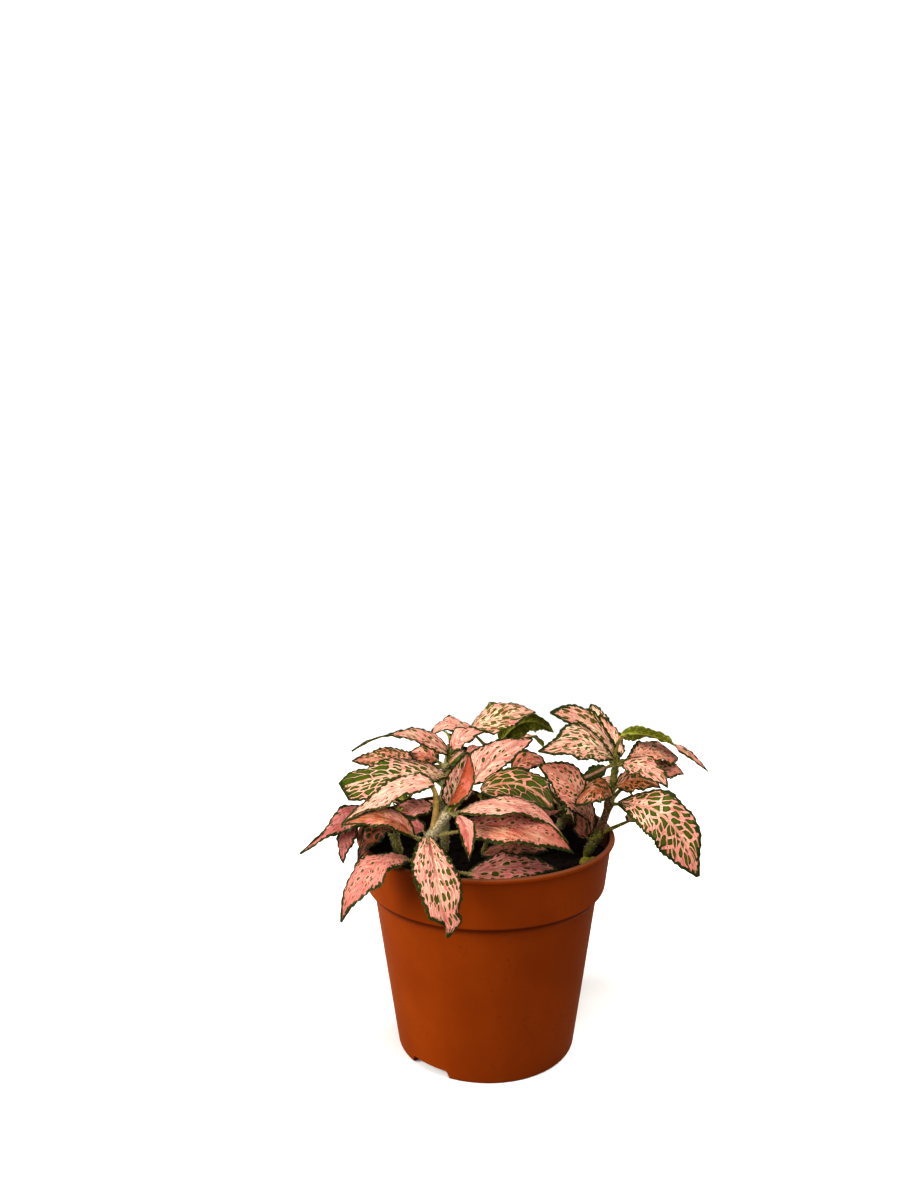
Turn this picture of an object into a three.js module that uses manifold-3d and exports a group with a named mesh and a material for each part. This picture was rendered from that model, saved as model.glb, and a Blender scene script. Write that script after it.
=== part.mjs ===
// Potted nerve plant: a pink-leaved Fittonia in a plain round nursery pot.
// Millimetres, +Z up. The origin is the middle of the flat land under the pot,
// on the pot's axis, and -Y is the side that the plant shows to the front.
import * as THREE from 'three';
import { mergeVertices } from 'three/addons/utils/BufferGeometryUtils.js';
import Module from 'manifold-3d';

const wasm = await Module();
wasm.setup();

// Driving dimensions of the pot
const POT_HEIGHT = 99.8;
const POT_BASE_RADIUS = 41.3;
const POT_CREASE = { radius: 51.9, height: 72.5 };
const POT_BAND_FOOT = { radius: 55.6, height: 76.9 };
const POT_BAND_TOP = { radius: 58.4, height: 97.0 };
const POT_RIM_RADIUS = 60;
const POT_WALL = 1.3;
const POT_FLOOR = 2.4;
const POT_SIDES = 48;
const FOOT_EDGE = 0.9;
const LIP_EDGE = 0.5;
const LIP_HEIGHT = 2.2;
const LIP_FLARE = 0.4;
const LAND_RADIUS = 24;
const FOOT_RING_INSIDE = 36;
const LAND_RECESS = 0.9;

// Drainage: two notches through the foot and four round holes in the floor
const NOTCH = { width: 20, height: 3.8, from: 31, to: 46, azimuth: -38 };
const DRAIN_HOLE = { radius: 3.6, at: 30, sides: 10 };

// Driving dimensions of the root ball
const CLEARANCE = 0.3;
const SOIL_TOP = 90;
const SOIL_RINGS = 5;
const SOIL_BUMP = 1.1;
const STEM_HOLE_RADIUS = 2.9;
const STEM_HOLE_SIDES = 8;

// Driving dimensions of stems, leaf stalks and blades
const STEM_RADIUS = 2.1;
const STEM_TAPER = 0.8;
const STEM_SIDES = 6;
const STEM_ROOT = 68;
const STEM_FOOT = 92;
const FOOT_KNOT_RADIUS = 2.4;
const KNOT_RADIUS = 3;
const STALK_RADIUS = 0.95;
const STALK_SIDES = 4;
const STALK_STEPS = 3;
const BLADE_THICKNESS = 0.72;
const BLADE_END_WIDTH = 0.5;
const BLADE_FULLNESS = 0.85;
const TOOTH_DEPTH = 0.1;
const WAVE_COUNT = 2.5;
const WAVE_SHIFT = 1.7;
const OUTWARD_PULL = 0.28;

const radians = THREE.MathUtils.degToRad;

// Solids: closed geometry in, closed geometry out

function toSolid(geometry) {
  const plain = geometry.index ? geometry.toNonIndexed() : geometry.clone();
  plain.deleteAttribute('normal');
  plain.deleteAttribute('uv');
  const merged = mergeVertices(plain, 1e-4);
  const mesh = new wasm.Mesh({
    numProp: 3,
    vertProperties: new Float32Array(merged.attributes.position.array),
    triVerts: new Uint32Array(merged.index.array),
  });
  return new wasm.Manifold(mesh);
}

function toGeometry(solid) {
  const mesh = solid.getMesh();
  const geometry = new THREE.BufferGeometry();
  geometry.setAttribute('position', new THREE.BufferAttribute(mesh.vertProperties, 3));
  geometry.setIndex(new THREE.BufferAttribute(mesh.triVerts, 1));
  geometry.computeVertexNormals();
  return geometry;
}

function placed(geometry, x, y, z, turn = 0) {
  geometry.rotateZ(turn);
  geometry.translate(x, y, z);
  return toSolid(geometry);
}

function uprightCylinder(radius, low, high, sides, x, y) {
  const geometry = new THREE.CylinderGeometry(radius, radius, high - low, sides);
  geometry.rotateX(Math.PI / 2);
  return placed(geometry, x, y, (low + high) / 2);
}

function turned(profile, sides) {
  const points = profile.map(([r, z]) => new THREE.Vector2(r, z));
  const geometry = new THREE.LatheGeometry(points, sides);
  geometry.rotateX(Math.PI / 2);
  return geometry;
}

function compass(azimuth) {
  return [Math.sin(radians(azimuth)), -Math.cos(radians(azimuth))];
}

// Pot: a thin injection-moulded cup with a stepped band and a rolled lip

function innerRadius(height) {
  const low = [POT_FLOOR, POT_BASE_RADIUS - POT_WALL];
  const crease = [POT_CREASE.height, POT_CREASE.radius - POT_WALL];
  const foot = [POT_BAND_FOOT.height, POT_BAND_FOOT.radius - POT_WALL];
  const top = [POT_HEIGHT, POT_BAND_TOP.radius - POT_WALL + LIP_FLARE];
  const stops = [low, crease, foot, top];
  const next = Math.max(1, stops.findIndex(([z]) => z >= height));
  const [z0, r0] = stops[next - 1];
  const [z1, r1] = stops[next];
  return r0 + ((r1 - r0) * (height - z0)) / (z1 - z0);
}

function makePot() {
  const lipFoot = POT_HEIGHT - LIP_HEIGHT;
  const cup = toSolid(
    turned(
      [
        [0, 0],
        [LAND_RADIUS, 0],
        [LAND_RADIUS + 1, LAND_RECESS],
        [FOOT_RING_INSIDE - 1, LAND_RECESS],
        [FOOT_RING_INSIDE, 0],
        [POT_BASE_RADIUS - FOOT_EDGE, 0],
        [POT_BASE_RADIUS, FOOT_EDGE],
        [POT_CREASE.radius, POT_CREASE.height],
        [POT_BAND_FOOT.radius, POT_BAND_FOOT.height],
        [POT_BAND_TOP.radius, lipFoot],
        [POT_RIM_RADIUS, lipFoot + LIP_EDGE],
        [POT_RIM_RADIUS, POT_HEIGHT - LIP_EDGE],
        [POT_RIM_RADIUS - LIP_EDGE, POT_HEIGHT],
        [innerRadius(POT_HEIGHT), POT_HEIGHT],
        [innerRadius(POT_BAND_FOOT.height), POT_BAND_FOOT.height],
        [innerRadius(POT_CREASE.height), POT_CREASE.height],
        [innerRadius(POT_FLOOR), POT_FLOOR],
        [0, POT_FLOOR],
      ],
      POT_SIDES,
    ),
  );
  const notchTurns = [NOTCH.azimuth, NOTCH.azimuth + 180];
  const withNotches = notchTurns.reduce((pot, azimuth) => {
    const length = NOTCH.to - NOTCH.from;
    const geometry = new THREE.BoxGeometry(NOTCH.width, length, 2 * NOTCH.height);
    geometry.translate(0, -(NOTCH.from + NOTCH.to) / 2, 0);
    return pot.subtract(placed(geometry, 0, 0, 0, radians(azimuth)));
  }, cup);
  return [45, 135, 225, 315].reduce((pot, step) => {
    const [x, y] = compass(NOTCH.azimuth + step);
    const { radius, at, sides } = DRAIN_HOLE;
    return pot.subtract(uprightCylinder(radius, -2, 8, sides, x * at, y * at));
  }, withNotches);
}

// Root ball: peat that fills the pot, with an uneven top and plain holes for the stems

function soilHeight(x, y) {
  const broad = Math.sin(x * 0.11 + 0.6) * Math.cos(y * 0.13 - 0.4);
  const crumb = Math.sin(x * 0.37 - y * 0.29) * 0.6;
  return SOIL_TOP + SOIL_BUMP * (broad + crumb);
}

function makeSoil(stems) {
  const side = (height) => innerRadius(height) - CLEARANCE;
  const bottom = POT_FLOOR + CLEARANCE;
  const edge = side(SOIL_TOP - 3);
  const rings = Array.from({ length: SOIL_RINGS }, (_, i) => (edge * (SOIL_RINGS - i)) / SOIL_RINGS);
  const geometry = turned(
    [
      [0, bottom],
      [side(bottom), bottom],
      [side(POT_CREASE.height), POT_CREASE.height],
      [side(POT_BAND_FOOT.height), POT_BAND_FOOT.height],
      ...rings.map((radius) => [radius, SOIL_TOP]),
      [0, SOIL_TOP],
    ],
    POT_SIDES,
  );
  const spots = geometry.attributes.position;
  for (let i = 0; i < spots.count; i += 1) {
    if (spots.getZ(i) > SOIL_TOP - 1) {
      spots.setZ(i, soilHeight(spots.getX(i), spots.getY(i)));
    }
  }
  return stems.reduce((soil, { stem }) => {
    const [x, y] = stem[0];
    const hole = uprightCylinder(
      STEM_HOLE_RADIUS, STEM_ROOT - CLEARANCE, POT_HEIGHT, STEM_HOLE_SIDES, x, y);
    return soil.subtract(hole);
  }, toSolid(geometry));
}

// Leaf blade: a thin waved sheet along a curved midrib, widest below its middle

function midrib({ base, mid, tip }) {
  const [start, middle, end] = [base, mid, tip].map((p) => new THREE.Vector3(...p));
  const pull = middle.clone().multiplyScalar(2);
  pull.addScaledVector(start, -0.5).addScaledVector(end, -0.5);
  return new THREE.QuadraticBezierCurve3(start, pull, end);
}

// Half width on one side of the midrib: a rule, or where edges are given, widths from base to tip
function halfWidth(leaf, t, side) {
  if (leaf.edges) {
    const widths = leaf.edges[side < 0 ? 0 : 1];
    const place = t * (widths.length - 1);
    const low = Math.min(Math.floor(place), widths.length - 2);
    return THREE.MathUtils.lerp(widths[low], widths[low + 1], place - low);
  }
  const full = Math.sin(Math.PI * t ** leaf.belly);
  return (leaf.width / 2) * Math.max(full, 0) ** BLADE_FULLNESS + BLADE_END_WIDTH / 2;
}

function bladeFrame(leaf, curve, t) {
  const along = curve.getTangent(t);
  const normal = new THREE.Vector3(...leaf.face).normalize();
  normal.addScaledVector(along, -normal.dot(along)).normalize();
  normal.applyAxisAngle(along, radians(leaf.roll + leaf.twist * (t - 0.5)));
  const side = new THREE.Vector3().crossVectors(along, normal);
  return { at: curve.getPoint(t), normal, side };
}

// s runs from -1 at one edge over 0 at the midrib to 1 at the other edge
function bladePoint(leaf, frame, t, s, scale) {
  const half = halfWidth(leaf, t, s) * scale;
  const reach = Math.abs(s);
  const fold = radians(leaf.fold);
  const bend = radians(leaf.curl) || 1e-3;
  const out = (half * (Math.sin(fold + bend * reach) - Math.sin(fold))) / bend;
  const lift = (half * (Math.cos(fold) - Math.cos(fold + bend * reach))) / bend;
  const phase = 2 * Math.PI * WAVE_COUNT * t + leaf.phase + (s > 0 ? 0 : WAVE_SHIFT);
  const ripple = leaf.wave * Math.sin(phase) * reach * reach * Math.sin(Math.PI * t);
  return frame.at
    .clone()
    .addScaledVector(frame.side, Math.sign(s) * out)
    .addScaledVector(frame.normal, lift + ripple);
}

function makeBlade(leaf) {
  const curve = midrib(leaf);
  const { columns, rows } = leaf;
  const upper = [];
  const lower = [];
  for (let row = 0; row <= rows; row += 1) {
    const t = row / rows;
    const frame = bladeFrame(leaf, curve, t);
    const tooth = row % 2 ? 1 + TOOTH_DEPTH / 2 : 1 - TOOTH_DEPTH / 2;
    for (let column = 0; column <= columns; column += 1) {
      const s = (2 * column) / columns - 1;
      const point = bladePoint(leaf, frame, t, s, Math.abs(s) === 1 ? tooth : 1);
      upper.push(point.clone().addScaledVector(frame.normal, BLADE_THICKNESS / 2));
      lower.push(point.clone().addScaledVector(frame.normal, -BLADE_THICKNESS / 2));
    }
  }
  const stride = columns + 1;
  const under = upper.length;
  const faces = [];
  const quad = (a, b, c, d) => faces.push(a, b, c, a, c, d);
  for (let row = 0; row < rows; row += 1) {
    for (let column = 0; column < columns; column += 1) {
      const a = row * stride + column;
      const [b, c, d] = [a + 1, a + stride + 1, a + stride];
      faces.push(a, b, c, a, c, d);
      faces.push(under + a, under + c, under + b, under + a, under + d, under + c);
    }
    const left = row * stride;
    const right = left + columns;
    quad(left, left + stride, under + left + stride, under + left);
    quad(right, under + right, under + right + stride, right + stride);
  }
  const last = rows * stride;
  for (let column = 0; column < columns; column += 1) {
    quad(column, under + column, under + column + 1, column + 1);
    quad(last + column, last + column + 1, under + last + column + 1, under + last + column);
  }
  const geometry = new THREE.BufferGeometry();
  const spots = [...upper, ...lower].flatMap((p) => [p.x, p.y, p.z]);
  geometry.setAttribute('position', new THREE.Float32BufferAttribute(spots, 3));
  geometry.setIndex(faces);
  return toSolid(geometry);
}

// Stems and stalks: round rods along smooth curves

function rod(curve, radius, sides, steps) {
  const section = new THREE.Shape();
  for (let i = 0; i < sides; i += 1) {
    const angle = (2 * Math.PI * i) / sides;
    const [x, y] = [radius * Math.cos(angle), radius * Math.sin(angle)];
    if (i === 0) section.moveTo(x, y);
    else section.lineTo(x, y);
  }
  section.closePath();
  const geometry = new THREE.ExtrudeGeometry(section, { steps, extrudePath: curve });
  return toSolid(geometry);
}

function makeStalk(leaf, knot) {
  const curve = midrib(leaf);
  const end = curve.getPoint(0.1);
  const lead = curve.getPoint(0).addScaledVector(curve.getTangent(0), -leaf.stalkBend);
  return rod(new THREE.QuadraticBezierCurve3(knot, lead, end), STALK_RADIUS, STALK_SIDES, STALK_STEPS);
}

function makeStem(stem) {
  const knots = stem.map((p) => new THREE.Vector3(...p));
  const root = new THREE.Vector3(knots[0].x, knots[0].y, STEM_ROOT);
  let solid = rod(new THREE.LineCurve3(root, knots[0]), STEM_RADIUS, STEM_SIDES, 1);
  for (let i = 1; i < knots.length; i += 1) {
    const radius = STEM_RADIUS * (1 - ((1 - STEM_TAPER) * i) / knots.length);
    const curve = new THREE.LineCurve3(knots[i - 1], knots[i]);
    solid = solid.add(rod(curve, radius, STEM_SIDES, 1));
  }
  return knots.reduce((whole, knot, i) => {
    const size = i === 0 ? FOOT_KNOT_RADIUS : KNOT_RADIUS;
    const ball = new THREE.IcosahedronGeometry(size, 0);
    return whole.add(placed(ball, knot.x, knot.y, knot.z));
  }, solid);
}

function makeLeafyStem({ stem, leaves }) {
  const knots = stem.map((p) => new THREE.Vector3(...p));
  return leaves.reduce((whole, leaf) => {
    const stalk = makeStalk(leaf, knots[leaf.knot]);
    return whole.add(stalk).add(makeBlade(leaf));
  }, makeStem(stem));
}

// Half widths of the leaves at the front, from base to tip on either side of the midrib
const EDGES = {
  FRONT: [
    [1.9, 3.3, 4.6, 5.8, 6.8, 7.8, 8.9, 9.7, 9.6, 8.4, 6.3, 7.1, 1],
    [3.3, 5.1, 6.8, 8, 9.1, 9.7, 9.5, 8.8, 7.9, 7.1, 6.1, 0.5, 0.5],
  ],
  OUTER_RIGHT: [
    [1.1, 5.2, 9.8, 12.3, 12, 11.8, 9.2, 4.4, 1.3],
    [1.2, 7.1, 10.7, 12.5, 13.6, 13.3, 11.6, 7.7, 0.6],
  ],
  BROAD_LEFT: [[1.5, 5.5, 7.7, 9.6, 11.1, 13, 13.5, 12.5, 9], [1.5, 8, 11, 12, 11, 9.6, 8.8, 7.5, 4]],
  TAILED: [[1.5, 5, 5.3, 5.2, 3.6, 0.9, 0.7, 0.7, 0.5], [1.5, 6, 7, 6, 2.6, 0.9, 0.7, 0.7, 0.5]],
  LONG_RIGHT: [[0.8, 3.6, 4.4, 5.3, 7, 8.6, 8, 4, 0.5], [1.3, 7.3, 8.9, 8.9, 7.5, 5, 2.5, 1.2, 0.5]],
  UPPER_RIGHT: [
    [0.7, 5.3, 8.4, 10.1, 10.5, 10.1, 7.9, 5.8, 0.5],
    [0.8, 2.9, 7.3, 10.7, 10.9, 9, 4.6, 1.8, 0.5],
  ],
  TOP_RIGHT: [[2.7, 4.5, 5.8, 6.6, 6.6, 6.1, 5.1, 3.1, 0.5], [1, 2, 2.7, 4.3, 6, 6.1, 6.2, 3.9, 0.6]],
  TOP_MIDDLE: [[1.5, 7, 10, 11, 10.8, 10, 6.8, 4.7, 0.6], [0.9, 4.9, 8.5, 11.3, 11.4, 9.5, 5.7, 3.3, 0.5]],
  TALL_MIDDLE: [[0.5, 4.3, 9.2, 9.5, 8.3, 7.3, 4.9, 2.6, 0.8], [1.5, 4.5, 5.2, 5.5, 5.4, 5, 3.9, 3, 0.8]],
  FOLDED: [[1.5, 5, 6.3, 6.5, 6.4, 5.8, 4.9, 3.3, 0.9], [1.5, 4.5, 6.4, 8.2, 9.4, 9.1, 7.3, 4.2, 0.5]],
  NETTED: [[1.5, 6.9, 8.4, 9, 9.7, 10.1, 8.5, 4.8, 1], [1.5, 6.9, 9.3, 10.8, 11.2, 10.7, 9, 5.9, 1.1]],
  INNER_RIGHT: [
    [0.9, 3.4, 5.9, 7.7, 8.7, 9, 7.1, 4.6, 0.8],
    [1.5, 3.5, 4.4, 4.6, 5.6, 8.1, 6.9, 4.1, 0.8],
  ],
  SMALL_RIGHT: [[1, 3.9, 5.4, 6.3, 6.8, 6.8, 5.9, 4, 0.6], [1.3, 3.8, 6.7, 6.4, 4.4, 3, 2.2, 1.8, 0.9]],
  LOW_LEFT: [[2, 5.7, 6.5, 9, 11.3, 8.6, 6.9, 2.9, 0.5], [2.8, 3.6, 4.5, 6.4, 7.3, 7, 6.1, 3.3, 0.5]],
  NEAR_LEFT: [
    [0.9, 2.9, 4.2, 4.7, 5.2, 4.9, 4.3, 2.8, 0.5],
    [1.3, 4.2, 5.7, 5.9, 5.7, 4.7, 2.4, 0.8, 0.5],
  ],
  ARCHED_LEFT: [
    [1.5, 5, 6.5, 7.8, 8.6, 7.8, 5.5, 2.5, 0.5],
    [1.5, 5.8, 6.3, 6.4, 5.4, 3.6, 2.2, 1.2, 0.5],
  ],
  OUTER_LEFT: [
    [0.5, 4.8, 5.8, 5.7, 4.9, 4.2, 2.7, 2.1, 0.5],
    [0.5, 2.8, 5.7, 7.8, 7.9, 5.6, 2.1, 0.7, 0.5],
  ],
  LOW_RIGHT: [[0.6, 3.9, 5.7, 7.2, 7.3, 6.5, 5, 3.4, 0.5], [0.9, 6.5, 7.7, 7.8, 7.4, 6.3, 4.7, 2.7, 0.5]],
  REAR_RIGHT: [[1.2, 3.5, 4.6, 5.1, 5.1, 4.9, 4.2, 3.3, 1.1], [1.2, 3, 3.6, 3.9, 3.9, 3.7, 3, 2, 0.7]],
};

// The leaves that the front shows, each by its midrib from base over middle to tip

function leaf(knot, base, mid, tip, width, more = {}) {
  const usual = {
    face: [0, -0.3, 1], roll: 0, twist: 0, fold: 12, curl: -20, belly: 0.75, wave: 1, phase: 0,
    stalkBend: 4, columns: 2, rows: 8,
  };
  return { ...usual, knot, base, mid, tip, width, ...more };
}

const frontLeft = {
  name: 'leafy_stem_front_left',
  stem: [[-24, -37, 92], [-25, -41, 101], [-23, -45, 113], [-16, -44, 123]],
  leaves: [
    leaf(2, [-21.5, -44, 135.5], [-40, -46, 133.5], [-61, -44, 118], 17, {
      face: [0, -0.4, 0.9], edges: EDGES.ARCHED_LEFT,
    }),
    leaf(3, [-11, -46, 124], [13, -47, 127], [35.5, -38, 108], 17, {
      face: [0, -0.25, 0.9], edges: EDGES.LONG_RIGHT,
    }),
    leaf(2, [-24, -50, 114], [-20, -67, 104.5], [-15.5, -74, 82], 23, {
      columns: 4, rows: 12, edges: EDGES.FRONT,
    }),
    leaf(2, [-30, -49, 114], [-43, -51, 123.5], [-61, -45, 118], 14, {
      face: [0, -0.5, 0.8], edges: EDGES.NEAR_LEFT,
    }),
    leaf(2, [-12, -47, 116], [14, -50, 119], [37, -45, 106], 18, { face: [0, -0.6, 0.8] }),
    leaf(3, [-16, -44, 126], [-11, -43, 136], [-7, -40, 148], 13, {
      face: [-0.3, -1, 0], fold: 40, curl: 0, wave: 0, edges: EDGES.FOLDED,
    }),
    leaf(3, [-12, -48, 123], [-8, -56, 119], [-7, -60, 108], 8, { fold: 30 }),
    leaf(1, [-33, -46, 103], [-48, -53, 102], [-60, -58, 81], 18, {
      face: [0, -0.3, 0.9], edges: EDGES.LOW_LEFT,
    }),
    leaf(1, [-8.5, -45, 96.5], [11, -46, 100.5], [31, -38, 96], 16, {
      face: [0, -0.5, 0.8], edges: EDGES.LOW_RIGHT,
    }),
    leaf(1, [-26.5, -34, 111], [-31, -31, 112.5], [-36, -28, 113.5], 8, { face: [0, -0.7, 0.6], rows: 6 }),
  ],
};

const left = {
  name: 'leafy_stem_left',
  stem: [[-40, -8, 92], [-42, -9, 102], [-41, -8, 108]],
  leaves: [
    leaf(2, [-46, -9, 109.5], [-63.5, -12, 108], [-84, -18, 95], 16, {
      face: [0, -0.6, 0.8], edges: EDGES.OUTER_LEFT,
    }),
    leaf(1, [-59, -8, 105], [-64, -12, 99], [-65, -14, 89], 9, { face: [-0.4, -1, 0.4] }),
    leaf(1, [-42, -20, 108], [-49, -27, 107.5], [-56, -33, 97.5], 13, { face: [-0.2, -0.3, 1] }),
    leaf(2, [-39, -3, 108.5], [-33, -1, 109.5], [-25, 1, 107.5], 12),
  ],
};

const middleLeft = {
  name: 'leafy_stem_middle_left',
  stem: [[-19, 2, 92], [-19, 3, 116], [-18, 4, 129], [-16, 4, 140]],
  leaves: [
    leaf(3, [-7, 8, 146], [8, 6, 153], [24, 10, 154], 22, {
      columns: 4, rows: 8, face: [0, -0.4, 0.9], edges: EDGES.TOP_MIDDLE,
    }),
    leaf(3, [-16, -1, 139], [-10, -4, 146], [0, -4, 148], 11, { face: [0, -0.6, 0.7] }),
    leaf(2, [-6, -11, 126], [6, -8, 137], [22, 0, 144], 20, {
      columns: 4, rows: 8, face: [0.2, -0.8, 0.6], edges: EDGES.TALL_MIDDLE,
    }),
    leaf(3, [-16.5, 1, 136], [-38, -4, 147], [-60.5, -12, 141], 17, {
      face: [0, -0.4, 0.9], wave: 0.4, edges: EDGES.TAILED,
    }),
    leaf(2, [-17, -1, 132], [-13, -4, 137], [-8, -5, 141], 10, { face: [0, -0.8, 0.5] }),
    leaf(2, [-22, 7, 131], [-30, 10, 133], [-40, 14, 130], 11, { face: [0, -0.8, 0.5] }),
    leaf(2, [-33, 7, 130], [-47, 8, 131.5], [-63, 6, 131.5], 13, { face: [0, -0.8, 0.6] }),
    leaf(2, [-17.5, -3, 127], [-42, -13, 130], [-64, -22, 126.5], 25, {
      columns: 4, rows: 8, face: [0, -0.4, 0.9], edges: EDGES.BROAD_LEFT,
    }),
    leaf(1, [-24, -2, 112.5], [-34, -6, 112.5], [-44.5, -10, 112], 11, {
      face: [0, -0.6, 0.8], rows: 6,
    }),
  ],
};

const centre = {
  name: 'leafy_stem_centre',
  stem: [[6, -14, 92], [5, -17, 106], [2, -20, 119]],
  leaves: [
    leaf(2, [-2, -23, 126], [15, -27, 130], [29, -34, 121], 21, {
      columns: 4, rows: 8, face: [0.1, -0.5, 0.8], edges: EDGES.NETTED,
    }),
    leaf(1, [-2, -31, 99.5], [15, -31, 103.5], [28, -25, 99.5], 14),
    leaf(2, [12, -14, 133], [20, -12, 137], [28, -12, 134], 10, { face: [0, -0.7, 0.6] }),
  ],
};

const right = {
  name: 'leafy_stem_right',
  stem: [[47, -6, 92], [52, -5, 100], [57, -4, 114], [60, -3, 131]],
  leaves: [
    leaf(2, [61, -6, 115], [82, -14, 110], [95, -18, 85], 26, {
      columns: 4, rows: 8, face: [0, -0.6, 0.7], edges: EDGES.OUTER_RIGHT,
    }),
    leaf(2, [58, -8, 119], [49, -14, 124], [40, -22, 119], 18, {
      face: [0, -0.7, 0.7], edges: EDGES.SMALL_RIGHT,
    }),
    leaf(3, [59, -5, 135.5], [43, -11, 145], [23.5, -20, 143], 23, {
      columns: 4, rows: 8, face: [0, -0.6, 0.8], edges: EDGES.UPPER_RIGHT,
    }),
    leaf(3, [61, 0, 136], [49, 2, 150], [30, -2, 156.5], 22, {
      columns: 4, rows: 8, face: [0, -0.8, 0.5], edges: EDGES.TOP_RIGHT,
    }),
    leaf(3, [58, 6, 133.5], [54.5, 16, 148], [51.5, 24, 155], 11, { face: [0, -0.6, 0.8], rows: 6 }),
    leaf(3, [63, 5, 144], [84, 13, 140.5], [106, 12, 125], 12, { face: [0, 0.3, 1], twist: 130 }),
    leaf(3, [65, 0, 134], [79, 10, 135], [93, 18, 130], 19, { face: [0, -0.4, 0.9], belly: 1.35 }),
    leaf(3, [62, -8, 134], [72, -15, 134], [80, -24, 128], 15, { face: [0, -0.4, 0.9] }),
    leaf(2, [66, 2, 122], [83, 8, 127], [95, 14, 123], 12, { face: [0, -0.7, 0.7] }),
    leaf(2, [60, -6, 123], [69, -12, 128], [78, -18, 126], 12, { face: [0, -0.8, 0.6] }),
    leaf(1, [67, 5, 103], [75, 12, 101], [84, 20, 92], 11),
    leaf(3, [56, -2, 131], [50, 0, 127], [44, 2, 124], 8, { face: [0, -0.7, 0.7] }),
    leaf(1, [48, -8, 101], [41, -12, 123], [24, -18, 136], 20, {
      face: [0.2, -1, 0.3], edges: EDGES.INNER_RIGHT,
    }),
    leaf(3, [62.5, 4, 134], [60.5, 9, 142], [54, 11, 152.5], 14, {
      face: [0, -0.8, 0.5], edges: EDGES.REAR_RIGHT,
    }),
    leaf(1, [46.5, -12, 100.5], [43.5, -14, 107], [40.5, -15, 114], 9, { face: [0.3, -1, 0.3], rows: 6 }),
  ],
};

// The stems behind carry opposite pairs of leaves, each pair square to the pair below

let seed = 7;
function random(low, high) {
  seed = (seed * 16807) % 2147483647;
  return low + ((high - low) * seed) / 2147483647;
}

function pairedStem({ name, foot, lean, rise, pairs, turn, length }) {
  const stem = [[...foot, STEM_FOOT]];
  const leaves = [];
  const outward = Math.hypot(...foot);
  for (let pair = 1; pair <= pairs; pair += 1) {
    const knot = [foot[0] + lean[0] * pair, foot[1] + lean[1] * pair, STEM_FOOT + rise * pair];
    stem.push(knot);
    for (const half of [0, 180]) {
      const [x, y] = compass(turn + 90 * pair + half + random(-12, 12));
      const light = 1 - OUTWARD_PULL + (OUTWARD_PULL * (x * foot[0] + y * foot[1])) / outward;
      const reach = length * light * (1 - 0.08 * (pair - 1)) * random(0.9, 1.1);
      const lift = random(2, 5);
      const spot = (out, up) => [knot[0] + x * out, knot[1] + y * out, knot[2] + up];
      leaves.push(
        leaf(pair, spot(6, 3), spot(6 + reach * 0.5, 5 + lift), spot(6 + reach * 0.9, 1.5 - lift),
          reach * random(0.42, 0.5), { face: [0, 0, 1], phase: random(0, 6) }),
      );
    }
  }
  return { name, stem, leaves };
}

const backLeft = pairedStem({
  name: 'leafy_stem_back_left', foot: [-34, 26], lean: [-3, 2], rise: 6, pairs: 2, turn: 140, length: 40,
});
const back = pairedStem({
  name: 'leafy_stem_back', foot: [2, 32], lean: [1, 2], rise: 11, pairs: 3, turn: 40, length: 42,
});
back.leaves.push(
  leaf(3, [8, 32, 134], [20, 25, 146], [33, 16, 143], 16, { face: [0, 0.9, 0.5] }),
  leaf(3, [-3, 34, 136], [-15, 28, 144], [-27, 24, 139], 15, { face: [0, -0.3, 1] }),
);
const backRight = pairedStem({
  name: 'leafy_stem_back_right', foot: [37, 26], lean: [2, 1], rise: 6, pairs: 2, turn: 110, length: 36,
});

backRight.leaves.push(
  leaf(1, [35, 24, 100], [31, 17, 103.5], [26.5, 10, 100.5], 12, { face: [0, 0, 1], rows: 6 }),
);

const stems = [frontLeft, left, middleLeft, centre, right, backLeft, back, backRight];

// One shed leaf lies on the peat beside the right-hand stem

const fallenLeaf = leaf(0, [42, -20, 92], [47, -17, 92], [51, -12, 91.8], 6, {
  fold: 4, curl: 0, wave: 0, rows: 6,
});

// Assembly

function part(name, solid, colour, roughness) {
  const material = new THREE.MeshStandardMaterial({ color: colour, roughness, metalness: 0 });
  const mesh = new THREE.Mesh(toGeometry(solid), material);
  mesh.name = name;
  return mesh;
}

const plant = new THREE.Group();
plant.add(part('pot', makePot(), 0x9a4218, 0.45));
plant.add(part('root_ball', makeSoil(stems), 0x1c1712, 0.95));
for (const spec of stems) {
  plant.add(part(spec.name, makeLeafyStem(spec), 0xdb7f74, 0.4));
}

plant.add(part('fallen_leaf', makeBlade(fallenLeaf), 0xa89a4a, 0.7));

export default plant;
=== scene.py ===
import math
from functools import partialmethod

import bpy
import numpy as np
from mathutils import Matrix, Vector


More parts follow.
